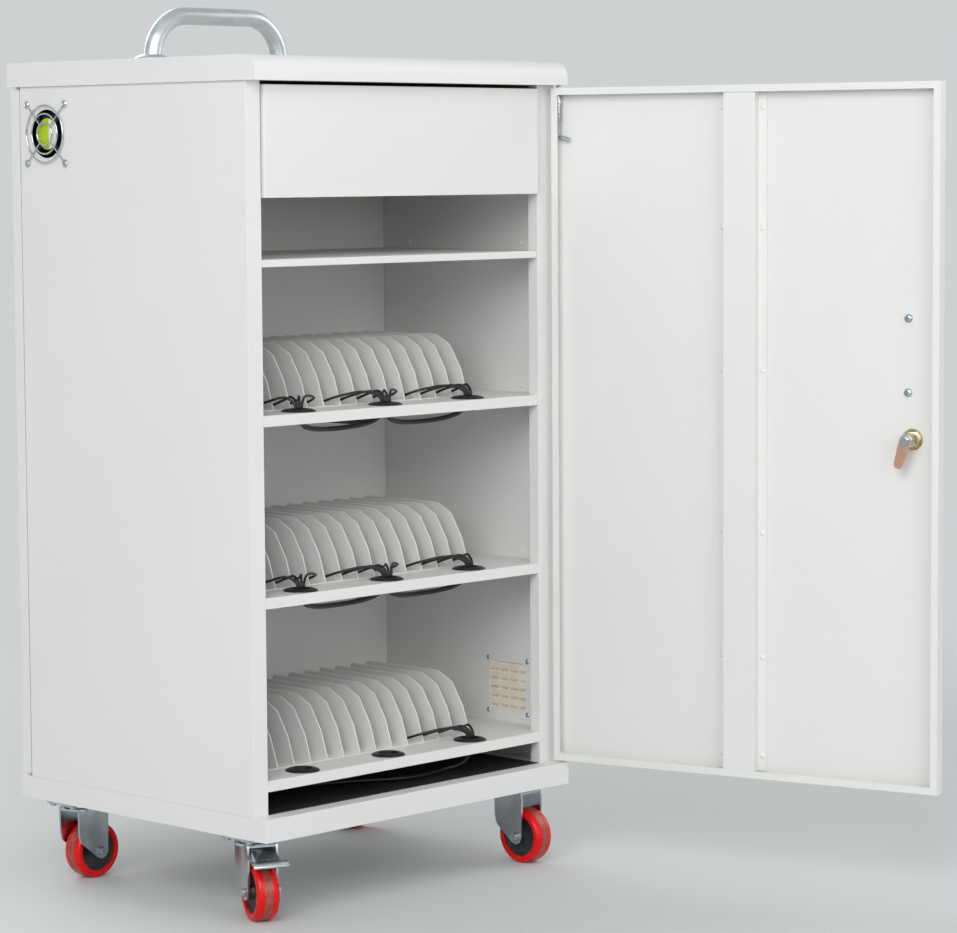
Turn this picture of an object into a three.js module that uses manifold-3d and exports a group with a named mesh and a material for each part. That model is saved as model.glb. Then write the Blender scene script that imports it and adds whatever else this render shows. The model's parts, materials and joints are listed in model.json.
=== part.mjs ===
// Mobile charging cart: a sheet steel cabinet on four swivel casters, with a front door, a rear door,
// a drawer, three device shelves with divider racks and charging leads, a fan and a push handle.
// Millimetres, +Z up, +X to the right and +Y to the rear as seen from the front.
import * as THREE from 'three';
import { mergeVertices } from 'three/addons/utils/BufferGeometryUtils.js';
import Module from 'manifold-3d';

const wasm = await Module();
wasm.setup();

// Cabinet
const SHEET = 1.5;              // sheet steel
const FIT = 0.3;                // gap between pieces that are screwed or slid together
const BODY_WIDTH = 600;         // across the side panels
const BODY_DEPTH = 472;         // side panel, front face to rear edge
const BODY_HEIGHT = 1050;       // underside of the base to the top of the cap
const BASE_HEIGHT = 32;
const CAP_HEIGHT = 34;
const CAP_SIDE_LIP = 4;         // cap beyond the side panels
const DOOR_ROOM = 24;           // base and cap beyond the side panels, front and rear
const BULLNOSE = 24;            // rounded front edge of the cap
const BULLNOSE_STEPS = 6;
const LEFT_STILE = 26;          // front flange of the left panel
const RIGHT_STILE = 36;         // front flange of the right panel
const STILE_RETURN = 18;
const REAR_FLANGE = 22;
const FRAME_FLANGE = 92;        // inward flange under the base that takes the casters
const CAP_FLANGE = 60;          // inward flange of the cap, seated on the side panels
const REAR_BAY = 122;           // wall behind the shelves to the rear edge of the side panels
const PARTITION_FLANGE = 16;

// Shelves, with the heights of the device shelves above the underside of the base
const UPPER_ROOM = 82;          // drawer front down to the upper shelf
const DEVICE_SHELF_TOPS = [571, 326, 78];
const UPPER_SHELF_LIP = 10;
const DEVICE_SHELF_LIP = 15;
const SHELF_SETBACK = 1.5;      // shelf edge behind the face of the stiles

// Cable grommets
const GROMMET_PITCH = 165;
const GROMMET_OFFSET = -19;     // middle grommet from the centre line
const GROMMET_SETBACK = 28;
const GROMMET_FLANGE = 48;
const GROMMET_NECK = 38;
const GROMMET_BORE = 28;
const GROMMET_RISE = 4;
const ROUND_SIDES = 12;

// Divider racks
const SLOTS = 13;
const SLOT_PITCH = 31.6;
const RACK_OFFSET = -25;
const RACK_SETBACK = 62;
const FIN_LENGTH = 215;
const FIN_HEIGHT = 88;
const FIN_SLOPE = 62;           // length of the sloping front edge
const FIN_THICK = 2;
const RACK_PLATE = 1.5;

// Charging leads
const LEAD_DIAMETER = 3.6;
const LEAD_STEPS = 7;
const TRUNK_STEPS = 8;
const TRUNK_SIDES = 8;
const LEAD_SIDES = 6;
const LEADS_PER_GROMMET = [4, 5, 4];
const PLUG_LENGTH = 27;
const PLUG_WIDTH = 10;
const PLUG_HEIGHT = 6;
const BUNDLE_DIAMETER = 25;     // leads bunched in the grommet
const BUNDLE_DEPTH = 18;
const TRUNK_DIAMETER = 7;
const HUB_LENGTH = 92;
const HUB_DEPTH = 62;
const HUB_HEIGHT = 24;
const HUB_SETBACK = 128;

// Drawer
const DRAWER_HEIGHT = 150;
const DRAWER_TOP_GAP = 5;       // drawer front under the cap
const DRAWER_SIDE_GAP = 3;
const DRAWER_PROUD = 5;         // drawer front before the stiles
const DRAWER_FRONT_DEPTH = 16;
const DRAWER_BOX_INSET = 12;    // box wall inside the end of the drawer front
const DRAWER_BOX_HEIGHT = 100;
const DRAWER_BOX_RISE = 10;     // box floor above the lower edge of the front
const DRAWER_REAR_GAP = 30;     // drawer box to the wall behind the shelves
const RUNNER_LEDGE = 9;         // how far a runner reaches under the drawer
const RUNNER_THICK = 3;

// Doors
const DOOR_THICK = 18;
const DOOR_LIP = 10;
const DOOR_CLEARANCE = 4;       // door to cap and base
const HINGE_INSET = 7;          // hinge axis from the door's edge
const HINGE_DEPTH = 10;         // hinge axis from the door's inner face
const REAR_DOOR_INSET = 3.5;    // rear door inside the rear edge of the cap
const FRONT_DOOR_OPEN = 103.7;  // degrees, as it stands at rest
const PIN_DIAMETER = 6;
const PIN_REACH = 12;
const STIFFENER_CENTRE = 298;   // from the hinge edge
const STIFFENER_CROWN = 49;
const STIFFENER_FLANGE = 13;
const STIFFENER_DEPTH = 14.4;
const STIFFENER_END_GAP = 7;
const LOCK_EDGE = 45;           // lock axis from the free edge
const LOCK_HEIGHT = 524;        // above the underside of the base
const LOCK_BARREL = 19;
const LOCK_NUT = 25;
const LOCK_NUT_HEIGHT = 5;
const LOCK_INSIDE = 24.5;       // lock barrel inside the door skin
const STRIKE_HEIGHT = 30;       // slot in the left stile that takes the lock cam
const STRIKE_DEPTH = 9;
const CAM_WIDTH = 17;
const CAM_LENGTH = 42;
const CAM_THICK = 3;
const CAM_TILT = 17;            // degrees from hanging straight down, towards the hinge
const PULL_ABOVE_LOCK = 115;    // middle of the pull above the lock axis
const PULL_INBOARD = 7;         // from the lock axis, towards the hinge
const PULL_SPAN = 102;
const PULL_ROD = 9;
const PULL_REACH = 26;
const PULL_STEPS = 14;
const PULL_SIDES = 8;
const BOLT_ROD = 6;
const BOLT_BRACKET = 14;
const BOLT_LENGTH = 68;
const BOLT_HANDLE = 18;
const BOLT_COLLAR = 7;

// Push handle
const HANDLE_TUBE = 25;
const HANDLE_SIDES = 12;
const HANDLE_STEPS = 24;
const HANDLE_SPAN = 251;
const HANDLE_RISE = 82;         // cap to the top of the tube
const HANDLE_BEND = 62;
const HANDLE_LEAN = 10;         // degrees that each leg leans inwards
const HANDLE_BEND_STEPS = 4;
const HANDLE_FROM_REAR = 106;
const HANDLE_ROSE = 48;
const HANDLE_ROSE_HEIGHT = 13;

// Fan, vent and power
const FAN_SIZE = 92;
const FAN_DEPTH = 25;
const FAN_SCREW_PITCH = 82.5;
const FAN_FROM_REAR = 58;       // fan's centre from the rear edge of the side panel
const FAN_BELOW_CAP = 66;
const FAN_DUCT = 86;
const FAN_OPENING = 68;         // hole in the side panel
const FAN_HUB = 46;
const FAN_BLADES = 7;
const FAN_BLADE_PITCH = 32;     // degrees
const GUARD_WIRE = 2.4;
const GUARD_RINGS = [16, 28, 40];
const VENT_SETBACK = 96;
const VENT_HEIGHT = 132;        // above the underside of the base
const VENT_OPENING = 71;
const VENT_CORNER = 6;
const VENT_COVER_SIZE = 100;
const VENT_COVER_DEPTH = 5;
const VENT_COVER_BORDER = 10;
const VENT_COVER_LOUVRES = 6;
const VENT_COVER_COLUMNS = 4;
const VENT_COVER_RIB = 3;
const POWER_WIDTH = 320;
const POWER_HEIGHT = 130;
const POWER_DEPTH = 62;
const POWER_BASE = 470;         // above the underside of the base
const POWER_OUTLETS = 6;
const OUTLET_SIZE = 34;
const OUTLET_RISE = 5;
const INLET_WIDTH = 30;
const INLET_HEIGHT = 23;
const INLET_DEPTH = 24;
const INLET_FLANGE = 4;
const INLET_FROM_REAR = 52;
const INLET_BASE = 130;         // above the underside of the base

// Casters
const CASTER_HEIGHT = 116;
const CASTER_INSET_X = 42;      // swivel axis from the side panel
const CASTER_INSET_FRONT = 46;  // swivel axis from the front face of the side panel
const CASTER_INSET_REAR = 54;   // swivel axis from its rear edge
const WHEEL_DIAMETER = 80;
const WHEEL_WIDTH = 32;
const WHEEL_SIDES = 24;
const CASTER_TRAIL = 22;
const CASTER_PLATE = [74, 58, 4];
const SWIVEL_DIAMETER = 44;
const SWIVEL_HEIGHT = 7;
const FORK_SHEET = 3;
const FORK_INSIDE = 38;
const FORK_CROWN = 56;
const AXLE_DIAMETER = 8;
const AXLE_NUT = 13;
const AXLE_NUT_WIDTH = 6;
const PEDAL_SHEET = 2.5;
const PEDAL_WIDTH = 34;
const PEDAL_TOE = 50;           // width of the pressed toe
const PEDAL_PIVOT = 9;          // pivot bar
const CASTER_TURNS = { front_left: 156, rear_left: 271, front_right: 180, rear_right: 205 };
const BRAKED = ['front_left', 'rear_right'];

// Levels and planes that follow from the sizes above
const BASE_BOTTOM = CASTER_HEIGHT;
const DECK = BASE_BOTTOM + BASE_HEIGHT;
const CAP_TOP = BASE_BOTTOM + BODY_HEIGHT;
const CAP_BOTTOM = CAP_TOP - CAP_HEIGHT;
const RIGHT = BODY_WIDTH / 2;
const LEFT = -RIGHT;
const FRONT = -BODY_DEPTH / 2;
const REAR = BODY_DEPTH / 2;
const LEFT_STILE_EDGE = LEFT + LEFT_STILE;
const RIGHT_STILE_EDGE = RIGHT - RIGHT_STILE;
const PARTITION = REAR - REAR_BAY;
const GROMMET_Y = FRONT + GROMMET_SETBACK;
const DOOR_BOTTOM = DECK + DOOR_CLEARANCE;
const DOOR_TOP = CAP_BOTTOM - DOOR_CLEARANCE;
const HINGE_X = RIGHT - HINGE_INSET;
const DOOR_INNER = -HINGE_DEPTH;
const DOOR_OUTER = DOOR_THICK - HINGE_DEPTH;
const HINGE_Y = FRONT - DOOR_ROOM + DOOR_OUTER;
const REAR_HINGE_Y = -HINGE_Y - REAR_DOOR_INSET;
const LOCK_LEVEL = BASE_BOTTOM + LOCK_HEIGHT;
const PULL_LEVEL = LOCK_LEVEL + PULL_ABOVE_LOCK;
const DRAWER_TOP = CAP_BOTTOM - DRAWER_TOP_GAP;
const DRAWER_BOTTOM = DRAWER_TOP - DRAWER_HEIGHT;
const UPPER_SHELF_TOP = DRAWER_BOTTOM - UPPER_ROOM;
const FAN_Y = REAR - FAN_FROM_REAR;
const FAN_LEVEL = CAP_BOTTOM - FAN_BELOW_CAP;
const INLET_Y = REAR - INLET_FROM_REAR;
const LEAD_REST = RACK_PLATE + LEAD_DIAMETER / 2 + FIT;

const PAINT = { color: 0xe4e4e2, roughness: 0.45, metalness: 0.1 };
const ZINC = { color: 0xaab4b8, roughness: 0.35, metalness: 1 };
const BLACK_PLASTIC = { color: 0x161718, roughness: 0.5, metalness: 0 };
const BLACK_CABLE = { color: 0x121214, roughness: 0.6, metalness: 0 };
const RED_TREAD = { color: 0xd4100c, roughness: 0.3, metalness: 0 };
const IVORY_PLASTIC = { color: 0xdccfbe, roughness: 0.6, metalness: 0 };
const BRASSED_STEEL = { color: 0xc98a63, roughness: 0.35, metalness: 1 };

const cart = new THREE.Group();

// Solid modelling helpers
function solid(geometry) {
  const bare = geometry.index ? geometry.toNonIndexed() : geometry.clone();
  bare.deleteAttribute('normal');
  bare.deleteAttribute('uv');
  const merged = mergeVertices(bare, 1e-4);
  return new wasm.Manifold(new wasm.Mesh({
    numProp: 3,
    vertProperties: new Float32Array(merged.attributes.position.array),
    triVerts: new Uint32Array(merged.index.array),
  }));
}

function geometryOf(body) {
  const mesh = body.getMesh();
  const geometry = new THREE.BufferGeometry();
  geometry.setAttribute('position', new THREE.BufferAttribute(mesh.vertProperties, 3));
  geometry.setIndex(new THREE.BufferAttribute(mesh.triVerts, 1));
  return geometry;
}

function join(...bodies) {
  return bodies.reduce((whole, body) => whole.add(body));
}

function block(x0, x1, y0, y1, z0, z1) {
  const geometry = new THREE.BoxGeometry(x1 - x0, y1 - y0, z1 - z0);
  return solid(geometry.translate((x0 + x1) / 2, (y0 + y1) / 2, (z0 + z1) / 2));
}

function extrusion(points, length) {
  const shape = new THREE.Shape(points.map(([a, b]) => new THREE.Vector2(a, b)));
  return new THREE.ExtrudeGeometry(shape, { depth: length, bevelEnabled: false });
}

// A prism standing on an outline in X and Y
function prismZ(points, z0, z1) {
  return solid(extrusion(points, z1 - z0).translate(0, 0, z0));
}

// A prism along X from an outline in Y and Z
function prismX(points, x0, x1) {
  const turn = new THREE.Matrix4().set(0, 0, 1, x0, 1, 0, 0, 0, 0, 1, 0, 0, 0, 0, 0, 1);
  return solid(extrusion(points, x1 - x0).applyMatrix4(turn));
}

// A prism along Y from an outline in X and Z
function prismY(points, y0, y1) {
  const turn = new THREE.Matrix4().set(0, 1, 0, 0, 0, 0, 1, y0, 1, 0, 0, 0, 0, 0, 0, 1);
  const swapped = points.map(([x, z]) => [z, x]);
  return solid(extrusion(swapped, y1 - y0).applyMatrix4(turn));
}

// A turned solid about Z from a closed profile of radius and height, with a flat side facing -Y
function turned(profile, sides) {
  const points = profile.map(([r, z]) => new THREE.Vector2(r, z));
  const ring = THREE.ShapeUtils.area(points) > 0 ? points : points.reverse();
  const geometry = new THREE.LatheGeometry([...ring, ring[0]], sides, Math.PI / sides);
  return solid(geometry.rotateX(Math.PI / 2));
}

function cylinder(diameter, z0, z1, sides = ROUND_SIDES) {
  const radius = diameter / 2;
  const geometry = new THREE.CylinderGeometry(radius, radius, z1 - z0, sides, 1, false, Math.PI / sides);
  return solid(geometry.rotateX(Math.PI / 2).translate(0, 0, (z0 + z1) / 2));
}

function tube(points, diameter, sides, steps) {
  const corners = Array.from({ length: sides }, (_, i) => {
    const angle = (i + 0.5) * 2 * Math.PI / sides;
    return new THREE.Vector2(Math.cos(angle), Math.sin(angle)).multiplyScalar(diameter / 2);
  });
  const path = new THREE.CatmullRomCurve3(points.map((p) => new THREE.Vector3(...p)), false, 'centripetal');
  return solid(new THREE.ExtrudeGeometry(new THREE.Shape(corners), { steps, extrudePath: path }));
}

function radians(degrees) {
  return THREE.MathUtils.degToRad(degrees);
}

function addPiece(group, name, body, look) {
  const mesh = new THREE.Mesh(geometryOf(body), new THREE.MeshStandardMaterial(look));
  mesh.name = name;
  group.add(mesh);
  return mesh;
}

// Side panels: one folded sheet each, with a front stile and a rear flange
function sidePanel(stile) {
  const stileEdge = LEFT + stile;
  const outline = [
    [LEFT, FRONT], [stileEdge, FRONT], [stileEdge, FRONT + STILE_RETURN],
    [stileEdge - SHEET, FRONT + STILE_RETURN], [stileEdge - SHEET, FRONT + SHEET],
    [LEFT + SHEET, FRONT + SHEET], [LEFT + SHEET, REAR - SHEET],
    [LEFT + REAR_FLANGE, REAR - SHEET], [LEFT + REAR_FLANGE, REAR], [LEFT, REAR],
  ];
  return prismZ(outline, DECK, CAP_BOTTOM);
}

// Ledge on a side panel that carries the drawer box
function runner(stile) {
  const reach = LEFT + stile + DRAWER_SIDE_GAP + DRAWER_BOX_INSET + RUNNER_LEDGE;
  const top = DRAWER_BOTTOM + DRAWER_BOX_RISE - FIT;
  const outline = [
    [LEFT, top - RUNNER_LEDGE * 2], [LEFT + RUNNER_THICK, top - RUNNER_LEDGE * 2],
    [LEFT + RUNNER_THICK, top - RUNNER_THICK], [reach, top - RUNNER_THICK], [reach, top], [LEFT, top],
  ];
  return prismY(outline, FRONT + STILE_RETURN + SHEET, PARTITION - PARTITION_FLANGE - SHEET);
}

function mirrored(body) {
  return body.mirror([1, 0, 0]);
}

function ventHole() {
  const half = VENT_OPENING / 2;
  const cut = half - VENT_CORNER;
  const outline = [
    [-half, -cut], [-cut, -half], [cut, -half], [half, -cut],
    [half, cut], [cut, half], [-cut, half], [-half, cut],
  ];
  const hole = prismX(outline, RIGHT - 2 * SHEET, RIGHT + SHEET);
  return hole.translate([0, FRONT + VENT_SETBACK, BASE_BOTTOM + VENT_HEIGHT]);
}

function fanOpening() {
  const hole = cylinder(FAN_OPENING, -3 * SHEET, 3 * SHEET, 24).rotate([0, 90, 0]);
  return hole.translate([LEFT, FAN_Y, FAN_LEVEL]);
}

function inletOpening() {
  const y = INLET_Y;
  const z = BASE_BOTTOM + INLET_BASE;
  const halfWidth = INLET_WIDTH / 2 + FIT;
  const halfHeight = INLET_HEIGHT / 2 + FIT;
  return block(
    RIGHT - 2 * SHEET, RIGHT + SHEET, y - halfWidth, y + halfWidth, z - halfHeight, z + halfHeight,
  );
}

// Slot in the return of the left stile, where the lock cam passes behind it
function strikeSlot() {
  const z = BASE_BOTTOM + LOCK_HEIGHT;
  return block(
    LEFT_STILE_EDGE - 2 * SHEET, LEFT_STILE_EDGE + SHEET, FRONT + SHEET, FRONT + SHEET + STRIKE_DEPTH,
    z - STRIKE_HEIGHT, z + STRIKE_HEIGHT / 2,
  );
}

const leftPanel = join(sidePanel(LEFT_STILE), runner(LEFT_STILE)).subtract(join(fanOpening(), strikeSlot()));
addPiece(cart, 'left_side_panel', leftPanel, PAINT);
const rightPanel = mirrored(join(sidePanel(RIGHT_STILE), runner(RIGHT_STILE)));
addPiece(cart, 'right_side_panel', rightPanel.subtract(ventHole()).subtract(inletOpening()), PAINT);

// Cap: a folded pan with a rounded front edge and an inward flange under it
function capOutline(inset) {
  const front = FRONT - DOOR_ROOM + inset;
  const rear = REAR + DOOR_ROOM - inset;
  const top = CAP_TOP - inset;
  const bottom = CAP_BOTTOM + inset;
  const radius = BULLNOSE - inset;
  const arc = Array.from({ length: BULLNOSE_STEPS + 1 }, (_, i) => {
    const angle = Math.PI / 2 + i * Math.PI / (2 * BULLNOSE_STEPS);
    return [front + radius + radius * Math.cos(angle), top - radius + radius * Math.sin(angle)];
  });
  return [[front, bottom], [rear, bottom], [rear, top], ...arc];
}

function topCap() {
  const half = RIGHT + CAP_SIDE_LIP;
  const shell = prismX(capOutline(0), -half, half);
  const hollow = prismX(capOutline(SHEET), -half + SHEET, half - SHEET);
  const mouth = block(
    LEFT + CAP_FLANGE, RIGHT - CAP_FLANGE, FRONT + CAP_FLANGE, REAR - CAP_FLANGE,
    CAP_BOTTOM - SHEET, CAP_BOTTOM + 2 * SHEET,
  );
  const pinHoles = [
    cylinder(PIN_DIAMETER + 2 * FIT, -3 * SHEET, 3 * SHEET).translate([HINGE_X, HINGE_Y, CAP_BOTTOM]),
    cylinder(PIN_DIAMETER + 2 * FIT, -3 * SHEET, 3 * SHEET).translate([-HINGE_X, REAR_HINGE_Y, CAP_BOTTOM]),
  ];
  return shell.subtract(join(hollow, mouth, ...pinHoles));
}
addPiece(cart, 'top_cap', topCap(), PAINT);

// Base: a closed-rim pan whose lower flange takes the casters, with a fixed hinge pin under each door
function baseTray() {
  const front = FRONT - DOOR_ROOM;
  const rear = REAR + DOOR_ROOM;
  const shell = block(LEFT, RIGHT, front, rear, BASE_BOTTOM, DECK);
  const hollow = block(
    LEFT + SHEET, RIGHT - SHEET, front + SHEET, rear - SHEET, BASE_BOTTOM + SHEET, DECK - SHEET,
  );
  const mouth = block(
    LEFT + FRAME_FLANGE, RIGHT - FRAME_FLANGE, FRONT + FRAME_FLANGE, REAR - FRAME_FLANGE,
    BASE_BOTTOM - SHEET, BASE_BOTTOM + 2 * SHEET,
  );
  const pin = cylinder(PIN_DIAMETER, DECK - SHEET, DECK + DOOR_CLEARANCE + PIN_REACH);
  return join(
    shell.subtract(join(hollow, mouth)),
    pin.translate([HINGE_X, HINGE_Y, 0]), pin.translate([-HINGE_X, REAR_HINGE_Y, 0]),
  );
}
addPiece(cart, 'base_tray', baseTray(), PAINT);

// Wall behind the shelves: a flanged sheet between the side panels
function partitionWall() {
  const side = RIGHT - SHEET - FIT;
  const flange = PARTITION + PARTITION_FLANGE;
  const outline = [
    [-side, PARTITION], [side, PARTITION], [side, flange], [side - SHEET, flange],
    [side - SHEET, PARTITION + SHEET], [-side + SHEET, PARTITION + SHEET],
    [-side + SHEET, flange], [-side, flange],
  ];
  return prismZ(outline, DECK, CAP_BOTTOM);
}
addPiece(cart, 'partition_wall', partitionWall(), PAINT);

// Shelves: pans with a lip all round, notched at the front to sit between the stiles
function shelfOutline(inset) {
  const front = FRONT + SHELF_SETBACK + inset;
  const notch = FRONT + STILE_RETURN + FIT + inset;
  const rear = PARTITION - FIT - inset;
  const side = RIGHT - SHEET - FIT - inset;
  const left = LEFT_STILE_EDGE + FIT + inset;
  const right = RIGHT_STILE_EDGE - FIT - inset;
  return [
    [left, front], [right, front], [right, notch], [side, notch],
    [side, rear], [-side, rear], [-side, notch], [left, notch],
  ];
}

function shelfPan(top, lip) {
  const pan = prismZ(shelfOutline(0), top - lip, top);
  return pan.subtract(prismZ(shelfOutline(SHEET), top - 2 * lip, top - SHEET));
}

function grommetX(index) {
  return GROMMET_OFFSET + (index - 1) * GROMMET_PITCH;
}

function grommetBody() {
  const bore = GROMMET_BORE / 2;
  const neck = GROMMET_NECK / 2 - FIT;
  const flange = GROMMET_FLANGE / 2;
  return turned([
    [bore, -DEVICE_SHELF_LIP + SHEET], [neck, -DEVICE_SHELF_LIP + SHEET], [neck, 0],
    [flange, 0], [flange - 1, GROMMET_RISE / 2], [neck - 3, GROMMET_RISE], [bore, GROMMET_RISE],
  ], ROUND_SIDES);
}

// Racks: a comb of upright fins with sloping front edges on a thin plate
function dividerRack() {
  const span = SLOTS * SLOT_PITCH;
  const left = RACK_OFFSET - span / 2;
  const half = FIN_THICK / 2;
  const comb = [[left - half, 0], [left + span + half, 0]];
  for (let fin = SLOTS; fin >= 0; fin -= 1) {
    const x = left + fin * SLOT_PITCH;
    comb.push([x + half, RACK_PLATE], [x + half, FIN_HEIGHT], [x - half, FIN_HEIGHT], [x - half, RACK_PLATE]);
  }
  const front = FRONT + RACK_SETBACK;
  const rear = front + FIN_LENGTH;
  const side = [
    [front - 1, 0], [rear, 0], [rear, FIN_HEIGHT], [front + FIN_SLOPE, FIN_HEIGHT],
    [front + FIN_SLOPE * 0.55, FIN_HEIGHT * 0.84], [front + FIN_SLOPE * 0.2, FIN_HEIGHT * 0.45],
    [front, RACK_PLATE * 2], [front - 1, RACK_PLATE],
  ];
  const wide = prismY(comb, front - SHEET, rear + SHEET);
  return wide.intersect(prismX(side, left - SLOT_PITCH, left + span + SLOT_PITCH));
}

// A lead from its grommet to the plug lying in its slot
function leadPoints(slot, grommet, spread) {
  const start = grommetX(grommet) + spread;
  const end = RACK_OFFSET + (slot - (SLOTS - 1) / 2) * SLOT_PITCH;
  const reach = end - start;
  const rackFront = FRONT + RACK_SETBACK;
  return [
    [start, GROMMET_Y, -LEAD_DIAMETER],
    [start, GROMMET_Y, 10],
    [start + 0.3 * reach, GROMMET_Y + 12, 19],
    [end - 0.12 * reach, rackFront - 4, 14],
    [end, rackFront + 26, LEAD_REST + 1],
    [end, rackFront + 58, LEAD_REST],
  ];
}

function plug(points) {
  const [x, y] = points[points.length - 1];
  const half = PLUG_WIDTH / 2;
  const low = RACK_PLATE + FIT;
  const near = y - LEAD_DIAMETER;
  return block(x - half, x + half, near, near + PLUG_LENGTH, low, low + PLUG_HEIGHT);
}

// Leads of one grommet, bunched in its bore
function leadFan(grommet) {
  const firstSlot = LEADS_PER_GROMMET.slice(0, grommet).reduce((sum, count) => sum + count, 0);
  const count = LEADS_PER_GROMMET[grommet];
  const bunch = cylinder(BUNDLE_DIAMETER, -BUNDLE_DEPTH, -LEAD_DIAMETER / 2);
  let fan = bunch.translate([grommetX(grommet), GROMMET_Y, 0]);
  for (let lead = 0; lead < count; lead += 1) {
    const spread = (lead - (count - 1) / 2) * (LEAD_DIAMETER + 1);
    const points = leadPoints(firstSlot + lead, grommet, spread);
    fan = join(fan, tube(points, LEAD_DIAMETER, LEAD_SIDES, LEAD_STEPS), plug(points));
  }
  return fan;
}

function trunk(points) {
  return tube(points, TRUNK_DIAMETER, TRUNK_SIDES, TRUNK_STEPS);
}

function hubX() {
  return grommetX(1) - GROMMET_PITCH / 2;
}

function hubBody() {
  const outline = new THREE.Shape();
  const halfLength = HUB_LENGTH / 2;
  outline.moveTo(-halfLength + 4, 0).lineTo(halfLength - 4, 0).lineTo(halfLength, 4);
  outline.lineTo(halfLength, HUB_DEPTH - 4).lineTo(halfLength - 4, HUB_DEPTH);
  outline.lineTo(-halfLength + 4, HUB_DEPTH).lineTo(-halfLength, HUB_DEPTH - 4).lineTo(-halfLength, 4);
  return solid(new THREE.ExtrudeGeometry(outline, { depth: HUB_HEIGHT, bevelEnabled: false }));
}

// Trunk cables under a shelf, from grommet to grommet and on to the hub
function hangingTrunks() {
  const low = -BUNDLE_DEPTH + TRUNK_DIAMETER;
  const sag = -DEVICE_SHELF_LIP - 14;
  const ends = [0, 1, 2].map(grommetX);
  const hubFace = FRONT + HUB_SETBACK - FIT;
  const swags = [0, 1].map((side) => trunk([
    [ends[side], GROMMET_Y, low], [ends[side] + 22, GROMMET_Y + 8, sag + 6],
    [(ends[side] + ends[side + 1]) / 2, GROMMET_Y + 18, sag],
    [ends[side + 1] - 22, GROMMET_Y + 8, sag + 6], [ends[side + 1], GROMMET_Y, low],
  ]));
  const tail = trunk([
    [ends[1], GROMMET_Y, low], [ends[1] - 8, GROMMET_Y + 24, sag + 6],
    [hubX() + 24, hubFace - 40, sag + 9], [hubX(), hubFace - 16, -SHEET - HUB_HEIGHT / 2],
    [hubX(), hubFace, -SHEET - HUB_HEIGHT / 2],
  ]);
  return join(...swags, tail);
}

// Trunk cable of the lowest shelf, lying on the deck of the base
function deckTrunk(shelfTop) {
  const lie = DECK - shelfTop + TRUNK_DIAMETER / 2 + 4 * FIT;
  const x = grommetX(2);
  const hubFace = FRONT + HUB_SETBACK - FIT;
  return trunk([
    [x, GROMMET_Y, -BUNDLE_DEPTH + TRUNK_DIAMETER / 2], [x - 6, GROMMET_Y + 6, lie + 10],
    [x - 40, GROMMET_Y + 22, lie], [x - 110, GROMMET_Y + 14, lie], [hubX() + 60, hubFace - 46, lie],
    [hubX(), hubFace - 16, lie], [hubX(), hubFace, lie],
  ]);
}

addPiece(cart, 'upper_shelf', shelfPan(UPPER_SHELF_TOP, UPPER_SHELF_LIP), PAINT);
DEVICE_SHELF_TOPS.forEach((height, index) => {
  const top = BASE_BOTTOM + height;
  const number = index + 1;
  const lowest = number === DEVICE_SHELF_TOPS.length;
  const hole = cylinder(GROMMET_NECK, -DEVICE_SHELF_LIP, DEVICE_SHELF_LIP);
  const holes = [0, 1, 2].map((g) => hole.translate([grommetX(g), GROMMET_Y, top]));
  addPiece(cart, `device_shelf_${number}`, shelfPan(top, DEVICE_SHELF_LIP).subtract(join(...holes)), PAINT);
  addPiece(cart, `divider_rack_${number}`, dividerRack(), PAINT).position.z = top;
  ['left', 'middle', 'right'].forEach((side, g) => {
    const grommet = addPiece(cart, `grommet_${number}_${side}`, grommetBody(), BLACK_PLASTIC);
    grommet.position.set(grommetX(g), GROMMET_Y, top);
  });
  const fans = (lowest ? [2] : [0, 1, 2]).map(leadFan);
  const trunks = lowest ? deckTrunk(top) : hangingTrunks();
  addPiece(cart, `charging_harness_${number}`, join(...fans, trunks), BLACK_CABLE).position.z = top;
  const hub = addPiece(cart, `usb_hub_${number}`, hubBody(), BLACK_PLASTIC);
  hub.position.set(hubX(), FRONT + HUB_SETBACK, lowest ? DECK : top - SHEET - HUB_HEIGHT);
});

// Drawer: a sheet steel box behind a folded front
function drawerBody() {
  const left = LEFT_STILE_EDGE + DRAWER_SIDE_GAP;
  const right = RIGHT_STILE_EDGE - DRAWER_SIDE_GAP;
  const bottom = DRAWER_BOTTOM;
  const top = DRAWER_TOP;
  const front = FRONT - DRAWER_PROUD;
  const face = block(left, right, front, front + DRAWER_FRONT_DEPTH, bottom, top);
  const hollow = block(
    left + SHEET, right - SHEET, front + SHEET, front + DRAWER_FRONT_DEPTH + SHEET,
    bottom + SHEET, top - SHEET,
  );
  const x0 = left + DRAWER_BOX_INSET;
  const x1 = right - DRAWER_BOX_INSET;
  const floor = bottom + DRAWER_BOX_RISE;
  const y0 = front + SHEET / 2;
  const y1 = PARTITION - DRAWER_REAR_GAP;
  const box = block(x0, x1, y0, y1, floor, floor + DRAWER_BOX_HEIGHT);
  const room = block(x0 + SHEET, x1 - SHEET, front + SHEET, y1 - SHEET, floor + SHEET, top - SHEET);
  return join(face.subtract(hollow), box).subtract(room);
}
addPiece(cart, 'drawer', drawerBody(), PAINT);

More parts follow.
